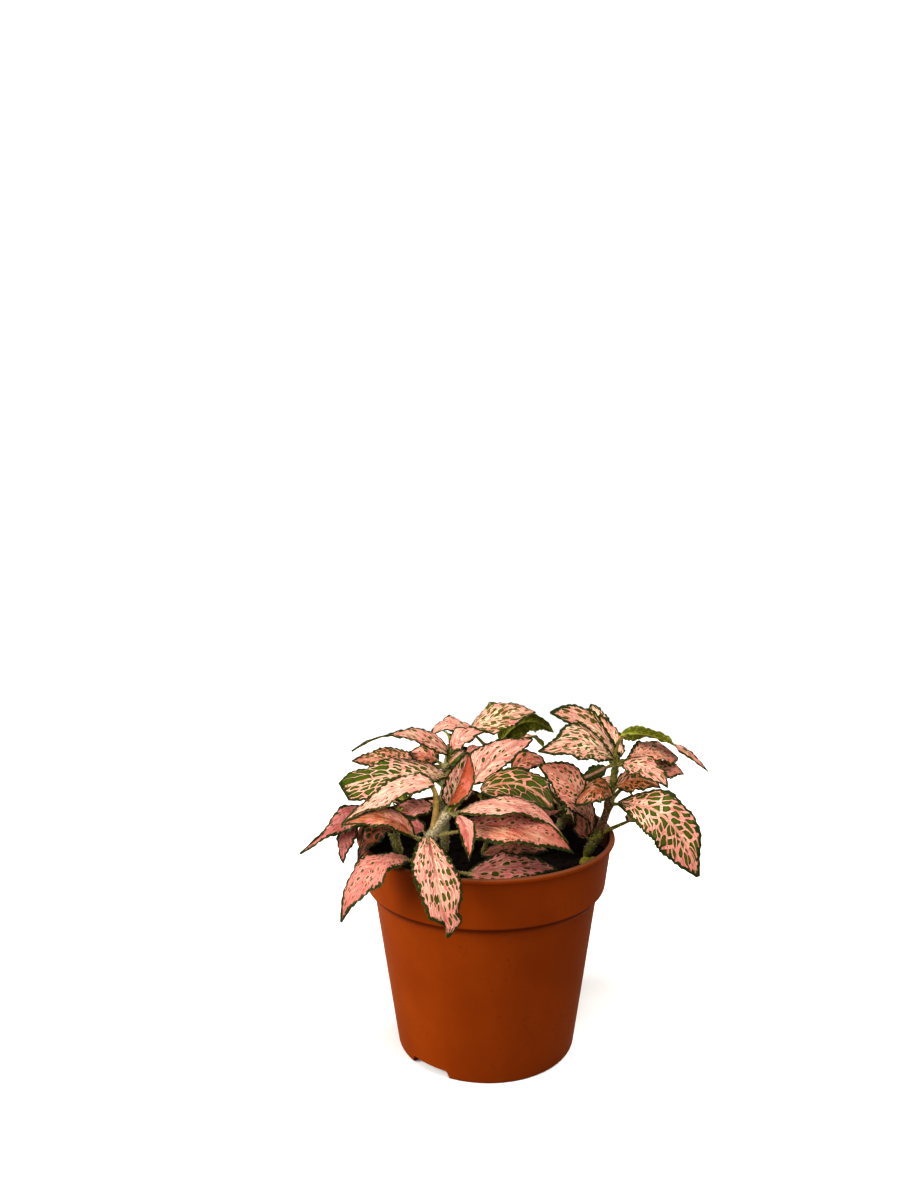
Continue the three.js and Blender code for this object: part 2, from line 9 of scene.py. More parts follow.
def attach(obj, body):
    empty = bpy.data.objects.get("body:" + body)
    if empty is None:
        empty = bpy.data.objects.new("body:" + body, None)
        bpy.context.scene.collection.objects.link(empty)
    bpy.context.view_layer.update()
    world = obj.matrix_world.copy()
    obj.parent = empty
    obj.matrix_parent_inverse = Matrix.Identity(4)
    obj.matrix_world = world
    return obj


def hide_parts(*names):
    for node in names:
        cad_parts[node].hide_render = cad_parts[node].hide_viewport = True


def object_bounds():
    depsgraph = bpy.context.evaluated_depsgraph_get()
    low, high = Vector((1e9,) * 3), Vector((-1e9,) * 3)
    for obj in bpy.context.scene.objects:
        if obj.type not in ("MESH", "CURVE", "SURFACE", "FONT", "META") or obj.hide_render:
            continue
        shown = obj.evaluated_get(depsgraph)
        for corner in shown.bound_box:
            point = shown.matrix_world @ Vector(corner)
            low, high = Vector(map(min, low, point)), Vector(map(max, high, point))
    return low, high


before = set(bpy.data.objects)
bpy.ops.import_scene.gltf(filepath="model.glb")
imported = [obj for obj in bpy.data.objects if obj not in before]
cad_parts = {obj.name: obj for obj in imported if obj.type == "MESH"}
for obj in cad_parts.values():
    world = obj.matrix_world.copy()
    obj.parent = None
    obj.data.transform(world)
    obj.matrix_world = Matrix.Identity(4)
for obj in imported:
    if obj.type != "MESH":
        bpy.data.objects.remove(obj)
cad_box = [list(corner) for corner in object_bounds()]

MM = 0.001
FULL_TURN = 2 * math.pi

# Pot, as in the solids
POT_HEIGHT = 99.8
POT_BASE_RADIUS = 41.3
CREASE = (51.9, 72.5)
BAND_FOOT = (55.6, 76.9)
BAND_TOP = (58.4, 97.6)
BAND_SLOPE = (BAND_TOP[0] - BAND_FOOT[0]) / (BAND_TOP[1] - BAND_FOOT[1])
RIM_RADIUS = 60.0
POT_WALL = 1.3
POT_FLOOR = 2.4
GROOVE_INNER, GROOVE_OUTER, GROOVE_DEPTH = 24, 36, 0.9
NOTCH_AZIMUTH = -38.0
NOTCH_WIDTH = 20.0
NOTCH_HEIGHT = 3.8
NOTCH_CORNER = 1.6
NOTCH_FROM, NOTCH_TO = 31.0, 46.0
DRAIN_RADIUS = 3.6
DRAIN_AT = 30.0
POT_STEPS = 180

# Root ball: its top and bumps are as in the solids
SOIL_TOP = 90.0
SOIL_BUMP = 1.1
SOIL_STEPS, SOIL_RINGS = 220, 64
SOIL_SEED = 3
CLEARANCE = 0.3
CRUMBS, FIBRES = 520, 110

# Stems, stalks and hairs
STEM_RADIUS = 2.0
STEM_SIDES = 14
STEM_START, STEM_FOOT = 84.0, 92
STEM_SEED = 100
KNOT_SWELL, KNOT_REACH = 0.75, 1.7
STALK_RADIUS = 0.95
STALK_BEND = 4
STALK_STEPS = 12
STEM_HAIR, STALK_HAIR, HAIR_RADIUS = 1.3, 0.8, 0.065
STALK_HAIRS = 150
BUD_SIZES = (3.6, 5.5)

# Blades. The reach is where their points lie, from midrib to margin
BLADE_REACH = np.concatenate([[0, 0.035, 0.08, 0.14], np.linspace(0.22, 1, 9)])
BLADE_HALF_THICKNESS = 0.2
BLADE_END_WIDTH = 0.5
WAVE_COUNT = 2.5
TOOTH_PITCH = 2.6
TOOTH_ROWS = 4
TOOTH_HEIGHT = 0.75
QUILT_PITCH, QUILT_HEIGHT = 3.6, 0.26
MIDRIB_GROOVE, MIDRIB_RIDGE = 0.3, 0.6
CELL_LENGTH = 2.3
CELL_RUN, CELL_WIDTH = 4.4, 1.9
CELL_DISORDER = 0.78

# The studio's light level on a lit leaf, and the contrast of the view around its pivot
STUDIO_LIGHT = 2.1
VIEW_PIVOT = 0.2
VIEW_CONTRAST = 1.3


def srgb(*colour):
    """The base colour of a surface that looks like this on a screen in the studio's light."""
    value = np.array(colour) / 255
    light = np.where(value <= 0.04045, value / 12.92, ((value + 0.055) / 1.055) ** 2.4)
    return (*(VIEW_PIVOT * (light / VIEW_PIVOT) ** (1 / VIEW_CONTRAST) / STUDIO_LIGHT), 1.0)


def unit(vectors):
    return vectors / np.linalg.norm(vectors, axis=-1, keepdims=True)


def smooth(value, low, high):
    part = np.clip((value - low) / (high - low), 0, 1)
    return part * part * (3 - 2 * part)


def circle(steps):
    """Angles of even steps round a circle."""
    return np.arange(steps) * FULL_TURN / steps


def bezier(start, pull, end, t):
    return (1 - t) ** 2 * start + 2 * t * (1 - t) * pull + t ** 2 * end


# Meshes

def new_object(name, data):
    made = bpy.data.objects.new(name, data)
    bpy.context.scene.collection.objects.link(made)
    return made


class Shape:
    """Points, faces and point values that are gathered and made into one piece."""

    def __init__(self):
        self.points, self.faces, self.rims = [], [], []
        self.values = {}
        self.count = 0

    def add(self, points, faces, rim=0, **values):
        points = np.asarray(points, float).reshape(-1, 3)
        self.points.append(points)
        for block in faces:
            self.faces += (np.asarray(block, int) + self.count).tolist()
        self.rims.append(np.broadcast_to(np.asarray(rim, int), (len(points),)))
        for name, value in values.items():
            value = np.broadcast_to(np.asarray(value, float), (len(points), 3))
            self.values.setdefault(name, []).append(value)
        self.count += len(points)

    def build(self, name, material):
        """The piece, with the last tenths of a millimetre of a leaf kept in the solids' box."""
        mesh = bpy.data.meshes.new(name)
        points = np.clip(np.concatenate(self.points) * MM, cad_box[0], cad_box[1])
        mesh.from_pydata(points.tolist(), [], self.faces)
        mesh.shade_smooth()
        for key, blocks in self.values.items():
            vectors = np.concatenate(blocks).astype(np.float32).ravel()
            mesh.attributes.new(key, "FLOAT_VECTOR", "POINT").data.foreach_set("vector", vectors)
        mesh.materials.append(material)
        rims = np.concatenate(self.rims)
        if rims.any():
            # An edge is sharp where both its ends lie on the same rim
            ends = np.empty(len(mesh.edges) * 2, np.int32)
            mesh.edges.foreach_get("vertices", ends)
            one, other = rims[ends.reshape(-1, 2)].T
            sharp = (one == other) & (one > 0)
            mesh.attributes.new("sharp_edge", "BOOLEAN", "EDGE").data.foreach_set("value", sharp)
        return new_object(name, mesh)


def grid_faces(rows, columns, closed=False):
    """Quads of a grid of points with the given numbers of rows and columns."""
    along = np.arange(columns - (not closed))
    row, column = np.meshgrid(np.arange(rows - 1), along, indexing="ij")
    after = (column + 1) % columns
    corners = [row * columns + column, row * columns + after,
               (row + 1) * columns + after, (row + 1) * columns + column]
    return np.stack(corners, -1).reshape(-1, 4)


def tube_faces(rows, sides):
    """Faces of rings of points, with the two points after them in the middle of the ends."""
    column = np.arange(sides)
    after = (column + 1) % sides
    count, last = rows * sides, (rows - 1) * sides
    return [
        grid_faces(rows, sides, closed=True),
        np.stack([np.full(sides, count), after, column], -1),
        np.stack([np.full(sides, count + 1), last + column, last + after], -1),
    ]


def finish_piece(piece, node):
    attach(piece, "root")
    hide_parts(node)


def path_frame(path):
    """Tangents of a path and two directions square to them that don't twist."""
    tangents = unit(np.gradient(path, axis=0))
    across = [unit(np.cross(tangents[0], (0.3, 1.0, 0.1)))]
    for tangent in tangents[1:]:
        last = across[-1]
        across.append(unit(last - tangent * (last @ tangent)))
    across = np.array(across)
    return tangents, across, np.cross(tangents, across)


def tube(shape, path, radii, sides, **values):
    """A closed tube along a path."""
    path = np.asarray(path, float)
    radii = np.broadcast_to(np.asarray(radii, float), (len(path),))
    _, across, upward = path_frame(path)
    turn = circle(sides)[:, None]
    ring = np.cos(turn) * across[:, None] + np.sin(turn) * upward[:, None]
    points = path[:, None] + ring * radii[:, None, None]
    points = np.concatenate([points.reshape(-1, 3), path[[0, -1]]])
    shape.add(points, tube_faces(len(path), sides), **values)


def turned(shape, profile, steps):
    """A closed solid of revolution. The profile starts and ends on the axis."""
    middle = profile[1:-1]
    turn = circle(steps)
    flat = middle[:, None, :1] * np.stack([np.cos(turn), np.sin(turn)], -1)
    height = np.broadcast_to(middle[:, None, 1:], (*flat.shape[:2], 1))
    points = np.concatenate([flat, height], -1).reshape(-1, 3)
    ends = [[0, 0, profile[0][1]], [0, 0, profile[-1][1]]]
    shape.add(np.concatenate([points, ends]), tube_faces(len(middle), steps))


# Node materials

class Graph:
    """A material whose shader inputs are worked out by nodes."""

    def __init__(self, name):
        self.material = bpy.data.materials.new(name)
        self.material.use_nodes = True
        self.tree = self.material.node_tree
        self.shader = self.tree.nodes["Principled BSDF"]

    def put(self, socket, value):
        if isinstance(value, bpy.types.NodeSocket):
            self.tree.links.new(value, socket)
        else:
            socket.default_value = value

    def node(self, kind, inputs=(), **settings):
        node = self.tree.nodes.new("ShaderNode" + kind)
        for name, value in settings.items():
            setattr(node, name, value)
        for key, value in dict(inputs).items():
            self.put(node.inputs[key], value)
        return node

    def math(self, operation, *values):
        return self.node("Math", enumerate(values), operation=operation).outputs[0]

    times = partialmethod(math, "MULTIPLY")
    plus = partialmethod(math, "ADD")
    minus = partialmethod(math, "SUBTRACT")
    times_plus = partialmethod(math, "MULTIPLY_ADD")

    def vector(self, x, y, z=0.0):
        return self.node("CombineXYZ", {0: x, 1: y, 2: z}).outputs[0]

    def parts(self, vector):
        return self.node("SeparateXYZ", {0: vector}).outputs[:3]

    def scaled(self, vector, scale):
        return self.node("VectorMath", {0: vector, 3: scale}, operation="SCALE").outputs[0]

    def attribute(self, name):
        """The three numbers of a point value."""
        return self.parts(self.node("Attribute", attribute_name=name).outputs["Vector"])

    def place(self):
        """The spot in the part's own frame, in millimetres."""
        return self.scaled(self.node("TexCoord").outputs["Object"], 1 / MM)

    def ramp(self, value, low, high, to_low=0.0, to_high=1.0, kind="SMOOTHSTEP"):
        inputs = {"Value": value, "From Min": low, "From Max": high,
                  "To Min": to_low, "To Max": to_high}
        return self.node("MapRange", inputs, interpolation_type=kind).outputs["Result"]

    def mix(self, factor, one, other, blend="MIX"):
        inputs = {0: factor, 6: one, 7: other}
        return self.node("Mix", inputs, data_type="RGBA", blend_type=blend).outputs[2]

    def layers(self, colour, *layers):
        """A colour under others, each with the share of it that shows."""
        for share, over in layers:
            colour = self.mix(share, colour, over)
        return colour

    def spread(self, noise, one, other):
        """One colour that runs into another where the noise rises."""
        return self.mix(self.ramp(noise, 0.35, 0.65), one, other)

    def noise(self, vector, scale, detail=3.0, roughness=0.5):
        inputs = {"Vector": vector, "Scale": scale, "Detail": detail, "Roughness": roughness}
        return self.node("TexNoise", inputs).outputs["Fac"]

    def cells(self, vector, feature):
        inputs = {"Vector": vector, "Scale": 1.0, "Randomness": CELL_DISORDER}
        return self.node("TexVoronoi", inputs, voronoi_dimensions="2D", feature=feature)

    def bump(self, height, strength, distance):
        inputs = {"Height": height, "Strength": strength, "Distance": distance}
        return self.node("Bump", inputs).outputs["Normal"]

    def finish(self, colour, roughness, gloss, normal=None, soft=0.0):
        """The material. Roughness may be a noise and the values that it runs between, and
        soft is the share of light that runs on under the surface."""
        if isinstance(roughness, tuple):
            noise, low, high = roughness
            roughness = self.ramp(noise, 0.3, 0.7, low, high)
        values = {"Base Color": colour, "Roughness": roughness, "Specular IOR Level": gloss}
        if normal:
            values["Normal"] = normal
        if soft:
            values.update({"Subsurface Weight": soft, "Subsurface Scale": 0.001})
        for name, value in values.items():
            self.put(self.shader.inputs[name], value)
        return self.material


# Leaf colours

SALMON = srgb(244, 158, 142)
ROSE = srgb(208, 96, 88)
CORAL = srgb(206, 88, 70)
CREAM = srgb(254, 226, 178)
PURPLE = srgb(184, 72, 98)
VEIN_RED = srgb(140, 54, 40)
ISLAND_DEEP = srgb(26, 40, 4)
ISLAND_BRIGHT = srgb(62, 78, 5)
DASH_OLIVE = srgb(98, 80, 8)
DASH_GREEN = srgb(68, 74, 8)
MARGIN_GREEN = srgb(32, 42, 6)
UNDER_DARK = srgb(118, 130, 26)
UNDER_PALE = srgb(180, 180, 62)
BROWN_FILTER = (0.62, 0.46, 0.26, 1.0)
SHADE_FILTER = (0.18, 0.13, 0.07, 1.0)


def leaf_material():
    """Green islands between pink veins that run out and forwards from the midrib.

    Its point values are the run along the midrib, the signed way off it and the way in
    from the margin; the run along the side veins, the way across them and 1 on the upper
    side; the share of green, cream and the size of cells; purple, brown and coral; the
    midrib's redness, the painted shade, which is painted light where it is negative, and
    a seed.
    """
    g = Graph("leaf_blade")
    run, off, edge = g.attribute("leaf_spot")
    forward, across, upper = g.attribute("leaf_vein")
    cover, cream, cell = g.attribute("leaf_look")
    purple, brown, coral = g.attribute("leaf_tint")
    red_line, shade, seed = g.attribute("leaf_line")
    away = g.math("ABSOLUTE", off)
    own = g.times_plus(seed, 41.0, g.times(g.math("SIGN", off), 17.0))
    flat = g.vector(run, off, own)

    # Cells between the veins, and how far into a dot or a block of green a spot lies
    wobble = g.noise(g.vector(forward, across, own), 0.25, 2.0)
    across = g.plus(across, g.times(g.minus(wobble, 0.5), 2.4))
    ways = (forward, CELL_RUN), (across, CELL_WIDTH)
    spot = g.vector(*(g.plus(g.math("DIVIDE", way, g.times(cell, one)), own) for way, one in ways))
    inside = g.cells(spot, "DISTANCE_TO_EDGE").outputs["Distance"]
    nearest = g.cells(spot, "F1").outputs
    lot = g.parts(nearest["Color"])[0]
    luck = g.minus(lot, 0.5)
    share = g.times_plus(luck, 0.3, cover)
    size = g.times_plus(luck, 0.2, share)
    dot = g.minus(g.times_plus(size, 0.55, 0.05), nearest["Distance"])
    block = g.plus(inside, g.times_plus(share, 0.4, -0.46))
    corner = g.minus(g.times_plus(share, 0.8, -0.06), nearest["Distance"])
    block = g.math("SMOOTH_MIN", block, corner, 0.08)
    dense = g.ramp(cover, 0.7, 0.78)
    depth = g.times_plus(dense, g.minus(block, dot), dot)
    island = g.times(g.ramp(depth, 0.0, 0.05), g.ramp(away, 0.4, 1.0))
    halo = g.ramp(depth, -0.2, 0.0)

    # Pink ground, streaked along the side veins
    streak = g.noise(g.vector(g.times(forward, 0.15), g.times(across, 1.9), own), 1.0, 3.0, 0.6)
    thread = g.noise(g.vector(g.times(forward, 0.2), g.times(across, 3.2), own), 1.0, 1.0)
    pale = g.times_plus(g.minus(streak, 0.5), 3.6, 0.56)
    pale = g.plus(pale, g.times(halo, 0.45))
    pale = g.node("Math", {0: pale, 1: cream}, operation="MULTIPLY", use_clamp=True).outputs[0]
    ground = g.layers(
        ROSE, (g.ramp(streak, 0.34, 0.56), SALMON), (coral, CORAL), (pale, CREAM),
        (g.ramp(thread, 0.52, 0.62, 0.0, 0.7), ROSE),
        (g.times(g.ramp(thread, 0.44, 0.36, 0.0, 0.5), cream), CREAM),
        (g.ramp(thread, 0.62, 0.72, 0.0, 0.45), VEIN_RED), (purple, PURPLE))
    brown = g.times(brown, g.ramp(g.noise(flat, 0.14, 2.0), 0.4, 0.6, 0.45, 1.4))
    ground = g.mix(brown, ground, g.mix(1.0, ground, BROWN_FILTER, "MULTIPLY"))
    ground = g.mix(g.times(g.ramp(away, 0.85, 0.3), red_line), ground, VEIN_RED)

    # Islands and the ragged green margin
    green = g.mix(dense, g.mix(lot, DASH_OLIVE, DASH_GREEN), ISLAND_BRIGHT)
    green = g.mix(g.ramp(depth, 0.02, 0.2), ISLAND_DEEP, green)
    green = g.mix(g.times(brown, 0.7), green, ISLAND_DEEP)
    colour = g.mix(island, ground, green)
    ragged = g.noise(flat, 0.55, 3.0)
    band = g.plus(g.ramp(ragged, 0.34, 0.66, 0.38, 1.0), g.ramp(inside, 0.03, 0.22, 0.0, 0.35))
    margin = g.ramp(edge, g.plus(band, 0.14), g.minus(band, 0.14))
    colour = g.mix(margin, colour, MARGIN_GREEN)

    # Underside, then painted shade, which is painted light where it is negative
    under = g.mix(g.ramp(inside, 0.04, 0.2), UNDER_PALE, UNDER_DARK)
    under = g.mix(g.ramp(away, 0.9, 0.4), under, UNDER_PALE)
    colour = g.mix(upper, under, colour)
    colour = g.mix(shade, colour, g.mix(1.0, colour, SHADE_FILTER, "MULTIPLY"))
    colour = g.scaled(colour, g.ramp(shade, 0.0, -1.0, 1.0, 2.0, "LINEAR"))

    grain = g.noise(flat, 3.0, 2.0)
    height = g.plus(g.ramp(inside, 0.0, 0.3), g.times(grain, 0.25))
    return g.finish(colour, (grain, 0.42, 0.58), 0.07, g.bump(height, 0.5, 0.0003), 0.05)


def stem_material():
    """Olive stems and stalks. stem_tint holds how woolly, how brown and how yellow they are."""
    g = Graph("stem_skin")
    woolly, brown, yellow = g.attribute("stem_tint")
    where = g.place()
    blotch = g.noise(where, 0.35, 3.0)
    mottle = g.noise(where, 1.3, 4.0, 0.6)
    grain = g.noise(where, 3.0, 2.0)
    tuft = g.ramp(mottle, 0.4, 0.6)
    fleece = g.mix(tuft, (0.1, 0.075, 0.04, 1.0), (0.34, 0.29, 0.19, 1.0))
    colour = g.layers(
        g.spread(blotch, srgb(66, 68, 12), srgb(112, 102, 26)),
        (yellow, g.spread(blotch, srgb(138, 98, 18), srgb(176, 132, 42))),
        (brown, g.spread(blotch, srgb(52, 24, 6), srgb(84, 44, 14))), (woolly, fleece))
    return g.finish(colour, (grain, 0.42, 0.62), 0.12, g.bump(grain, 0.4, 0.0002), 0.05)


def hair_material():
    g = Graph("stem_hair")
    shade = g.noise(g.place(), 0.8, 2.0)
    colour = g.spread(shade, (0.25, 0.22, 0.14, 1.0), (0.4, 0.35, 0.25, 1.0))
    return g.finish(colour, (shade, 0.5, 0.65), 0.1)


def pot_material():
    """Injection-moulded terracotta plastic with faint flow marks, smudges and dust."""
    g = Graph("pot_plastic")
    where = g.place()
    broad = g.noise(where, 0.028, 3.0)
    drawn = g.node("VectorMath", {0: where, 1: (0.12, 0.12, 0.016)}, operation="MULTIPLY")
    flow = g.noise(drawn.outputs[0], 1.0, 3.0)
    fine = g.noise(where, 1.6, 3.0)
    speck = g.noise(where, 0.55, 5.0, 0.65)
    smudge = g.times(g.ramp(speck, 0.6, 0.68), g.ramp(broad, 0.48, 0.6))
    dust = g.times(g.ramp(speck, 0.34, 0.28), 0.05)

    # Painted shade on the inside wall, a paler rim top that is a painted highlight with
    # some dust, and painted shade in the crease under the band
    east, north, up = g.parts(where)
    beside = g.node("VectorMath", {0: g.vector(east, north)}, operation="LENGTH")
    band = g.times_plus(up, BAND_SLOPE, BAND_FOOT[0] - BAND_SLOPE * BAND_FOOT[1])
    # Painted shade on the inside wall
    inner_shade = g.ramp(g.minus(band, beside.outputs["Value"]), 0.5, 1.0, 0.0, 0.9)
    # Painted shade in the crease under the overhanging band; the same mask also roughens it
    crease_shade = g.times(g.ramp(up, 72.6, 76.0, 0.0, 0.8), g.ramp(up, 77.0, 76.3))
    colour = g.layers(
        g.spread(broad, srgb(118, 42, 3), srgb(127, 47, 4)),
        (g.ramp(flow, 0.4, 0.7, 0.0, 0.15), srgb(106, 36, 3)),
        (g.times(smudge, 0.5), srgb(66, 32, 12)), (dust, srgb(186, 130, 84)),
        (g.times(inner_shade, g.ramp(up, 76.8, 77.4)), srgb(38, 20, 12)),
        # A paler rim top: a painted highlight with some dust
        (g.ramp(up, 99.2, 99.7, 0.0, 0.5), srgb(118, 80, 62)), (crease_shade, srgb(66, 16, 2)))
    roughness = g.plus(g.ramp(fine, 0.3, 0.7, 0.46, 0.58), g.times(smudge, 0.2))
    roughness = g.math("MAXIMUM", roughness, crease_shade)
    height = g.plus(g.times(fine, 0.3), flow)
    return g.finish(colour, roughness, 0.012, g.bump(height, 0.25, 0.0003), 0.03)


def peat_material():
    g = Graph("peat")
    where = g.place()
    clod = g.noise(where, 0.5, 4.0)
    grain = g.noise(where, 2.4, 4.0, 0.7)
    colour = g.spread(clod, srgb(12, 8, 6), srgb(28, 19, 13))
    colour = g.mix(g.ramp(grain, 0.62, 0.75, 0.0, 0.5), colour, srgb(60, 42, 28))
    height = g.plus(clod, g.times(grain, 0.6))
    return g.finish(colour, (grain, 0.8, 0.98), 0.03, g.bump(height, 0.9, 0.0008))


def dead_leaf_material():
    g = Graph("dead_leaf")
    where = g.place()
    blotch = g.noise(where, 0.5, 3.0)
    vein = g.noise(where, 2.2, 3.0)
    colour = g.spread(blotch, srgb(84, 80, 12), srgb(132, 116, 30))
    colour = g.mix(g.ramp(vein, 0.55, 0.7, 0.0, 0.7), colour, srgb(70, 46, 12))
    return g.finish(colour, (vein, 0.55, 0.8), 0.1, g.bump(vein, 0.5, 0.0003))


# Pot

def rounded(corners, steps=6):
    """A profile whose corners (radius, height, cut) are rounded over the length of the cut."""
    spots = np.array([corner[:2] for corner in corners])
    profile = []
    for i, (_, _, cut) in enumerate(corners):
        here = spots[i]
        if not cut:
            profile.append(here)
            continue
        start = here + unit(spots[i - 1] - here) * cut
        end = here + unit(spots[i + 1] - here) * cut
        profile += [bezier(start, here, end, part) for part in np.linspace(0, 1, steps)]
    return np.array(profile)


def cut_away(piece, cutter):
    """Takes the cutter's space out of the piece."""
    difference = piece.modifiers.new("cut", "BOOLEAN")
    difference.object = cutter
    difference.operation = "DIFFERENCE"
    difference.solver = "EXACT"
    bpy.context.view_layer.update()
    carved = piece.evaluated_get(bpy.context.evaluated_depsgraph_get())
    carved = bpy.data.meshes.new_from_object(carved)
    piece.modifiers.clear()
    piece.data = carved
    bpy.data.objects.remove(cutter)


def notch_shape(azimuth):
    """An upright arch through the foot, with rounded upper corners and sloped ends."""
    half = NOTCH_WIDTH / 2
    arc = np.linspace(0, math.pi / 2, 6)
    right = ([half - NOTCH_CORNER, NOTCH_HEIGHT - NOTCH_CORNER]
             + NOTCH_CORNER * np.stack([np.cos(arc), np.sin(arc)], -1))
    right = np.concatenate([[[half + 0.6, -2.0]], right])
    outline = np.concatenate([right, right[::-1] * (-1, 1)])
    near = np.insert(outline, 1, -NOTCH_FROM, axis=1)
    far = np.insert(outline, 1, -NOTCH_TO, axis=1)
    turn = math.radians(azimuth)
    spin = [[math.cos(turn), math.sin(turn), 0], [-math.sin(turn), math.cos(turn), 0], [0, 0, 1]]
    count = len(outline)
    i = np.arange(count)
    j = (i + 1) % count
    sides = np.stack([i, j, j + count, i + count], -1)
    shape = Shape()
    shape.add(np.concatenate([near, far]) @ np.array(spin), [sides, [i[::-1]], [i + count]])
    return shape


def make_pot():
    corners = [
        (0, 0, 0), (GROOVE_INNER, 0, 0.3), (GROOVE_INNER + 1, GROOVE_DEPTH, 0.3),
        (GROOVE_OUTER - 1, GROOVE_DEPTH, 0.3), (GROOVE_OUTER, 0, 0.3),
        (POT_BASE_RADIUS, 0, 1.3), (*CREASE, 1.3), (*BAND_FOOT, 0.9), (*BAND_TOP, 0.35),
        (RIM_RADIUS, BAND_TOP[1] + 0.3, 0.9), (RIM_RADIUS, POT_HEIGHT, 1.0),
        (BAND_TOP[0] - POT_WALL + 0.4, POT_HEIGHT, 0.7),
        (BAND_FOOT[0] - POT_WALL, BAND_FOOT[1], 0.8), (CREASE[0] - POT_WALL, CREASE[1], 0.8),
        (POT_BASE_RADIUS - POT_WALL, POT_FLOOR, 0.8), (0, POT_FLOOR, 0),
    ]
    shape = Shape()
    turned(shape, rounded(corners), POT_STEPS)
    plastic = pot_material()
    pot = shape.build("nursery_pot", plastic)
    for azimuth in (NOTCH_AZIMUTH, NOTCH_AZIMUTH + 180):
        cut_away(pot, notch_shape(azimuth).build("cutter", plastic))
    for step in (45, 135, 225, 315):
        turn = math.radians(NOTCH_AZIMUTH + step)
        at = np.array([math.sin(turn) * DRAIN_AT, -math.cos(turn) * DRAIN_AT, 0])
        drain = Shape()
        tube(drain, [at + (0, 0, -3), at + (0, 0, 8)], DRAIN_RADIUS, 32)
        cut_away(pot, drain.build("cutter", plastic))
    pot.data.shade_smooth()
    pot.data.set_sharp_from_angle(angle=math.radians(32))
    finish_piece(pot, "pot")


# Peat

def soil_surface(x, y, rough=1.0):
    """The solids' broad bumps, and small ones from waves in many directions."""
    broad = np.sin(x * 0.11 + 0.6) * np.cos(y * 0.13 - 0.4)
    crumb = np.sin(x * 0.37 - y * 0.29) * 0.6
    small = 0
    for i in range(14):
        turn = i * 2.399
        wave = (0.5 + 0.17 * i) * (x * math.cos(turn) + y * math.sin(turn)) + i * 1.7
        small = small + np.sin(wave) / (1 + 0.22 * i)
    return SOIL_TOP + SOIL_BUMP * (broad + crumb) + small * 0.16 * rough


def lump(rng, radius):
    """An uneven crumb with twenty faces."""
    golden = (1 + 5 ** 0.5) / 2
    four = np.array([(-1, golden, 0), (1, golden, 0), (-1, -golden, 0), (1, -golden, 0)])
    points = np.concatenate([np.roll(four, k, axis=1) for k in range(3)])
    faces = [(0, 11, 5), (0, 5, 1), (0, 1, 7), (0, 7, 10), (0, 10, 11), (1, 5, 9), (5, 11, 4),
             (11, 10, 2), (10, 7, 6), (7, 1, 8), (3, 9, 4), (3, 4, 2), (3, 2, 6), (3, 6, 8),
             (3, 8, 9), (4, 9, 5), (2, 4, 11), (6, 2, 10), (8, 6, 7), (9, 8, 1)]
    stretch = rng.uniform(0.6, 1.3, 3) * radius
    return unit(points) * rng.uniform(0.75, 1.2, (12, 1)) * stretch, faces


def scattered(rng, reach):
    """A spot drawn evenly from a disc."""
    far = reach * math.sqrt(rng.random())
    turn = rng.uniform(0, FULL_TURN)
    return np.array([far * math.cos(turn), far * math.sin(turn)])


def make_soil():
    rng = np.random.default_rng(SOIL_SEED)
    wall = BAND_FOOT[0] - POT_WALL - CLEARANCE
    edge = wall + BAND_SLOPE * (SOIL_TOP - 3 - BAND_FOOT[1])
    profile = [
        (0, POT_FLOOR + CLEARANCE),
        (POT_BASE_RADIUS - POT_WALL - CLEARANCE, POT_FLOOR + CLEARANCE),
        (CREASE[0] - POT_WALL - CLEARANCE, CREASE[1]),
        (wall, BAND_FOOT[1]),
        *[(edge * (SOIL_RINGS - i) / SOIL_RINGS, SOIL_TOP) for i in range(SOIL_RINGS)],
        (0, SOIL_TOP),
    ]
    shape = Shape()
    turned(shape, np.array(profile, float), SOIL_STEPS)
    points = shape.points[0]
    top = points[:, 2] > SOIL_TOP - 1
    x, y = points[top, 0], points[top, 1]
    points[top, 2] = soil_surface(x, y, smooth(np.hypot(x, y), edge, edge - 3))
    for _ in range(CRUMBS):
        x, y = scattered(rng, edge * 0.97)
        radius = 0.35 + 1.1 * rng.random() ** 3
        crumb, faces = lump(rng, radius)
        shape.add(crumb + (x, y, soil_surface(x, y) + radius * 0.2), [faces])
    for _ in range(FIBRES):
        spots = [scattered(rng, edge * 0.93)]
        heading = rng.uniform(0, FULL_TURN)
        bend = rng.uniform(-0.5, 0.5)
        for _ in range(4):
            heading += bend
            spots.append(spots[-1] + 1.1 * np.array([math.cos(heading), math.sin(heading)]))
        x, y = np.array(spots).T
        if np.hypot(x, y).max() < edge - 1:
            tube(shape, np.stack([x, y, soil_surface(x, y) + 0.35], -1), 0.16, 4)
    finish_piece(shape.build("peat_root_ball", peat_material()), "root_ball")


# Leaves: how each is placed, as in the solids, and how it is coloured

def leaf(knot, base, mid, tip, width, look="rosy", face=(0, -0.3, 1), **more):
    """A leaf's values. The width is the widest one, or half widths along either side."""
    usual = dict(twist=0, fold=12, curl=-20, belly=0.75, wave=1, phase=0)
    return dict(usual, knot=knot, base=base, mid=mid, tip=tip, width=width, look=look, face=face,
                **more)


def leafy_stem(name, woolly, brown, hairs, stem, *leaves):
    """A stem's values. The stem is its foot and its knots."""
    return dict(name="leafy_stem_" + name, woolly=woolly, brown=brown, hairs=hairs, stem=stem,
                leaves=[*leaves])


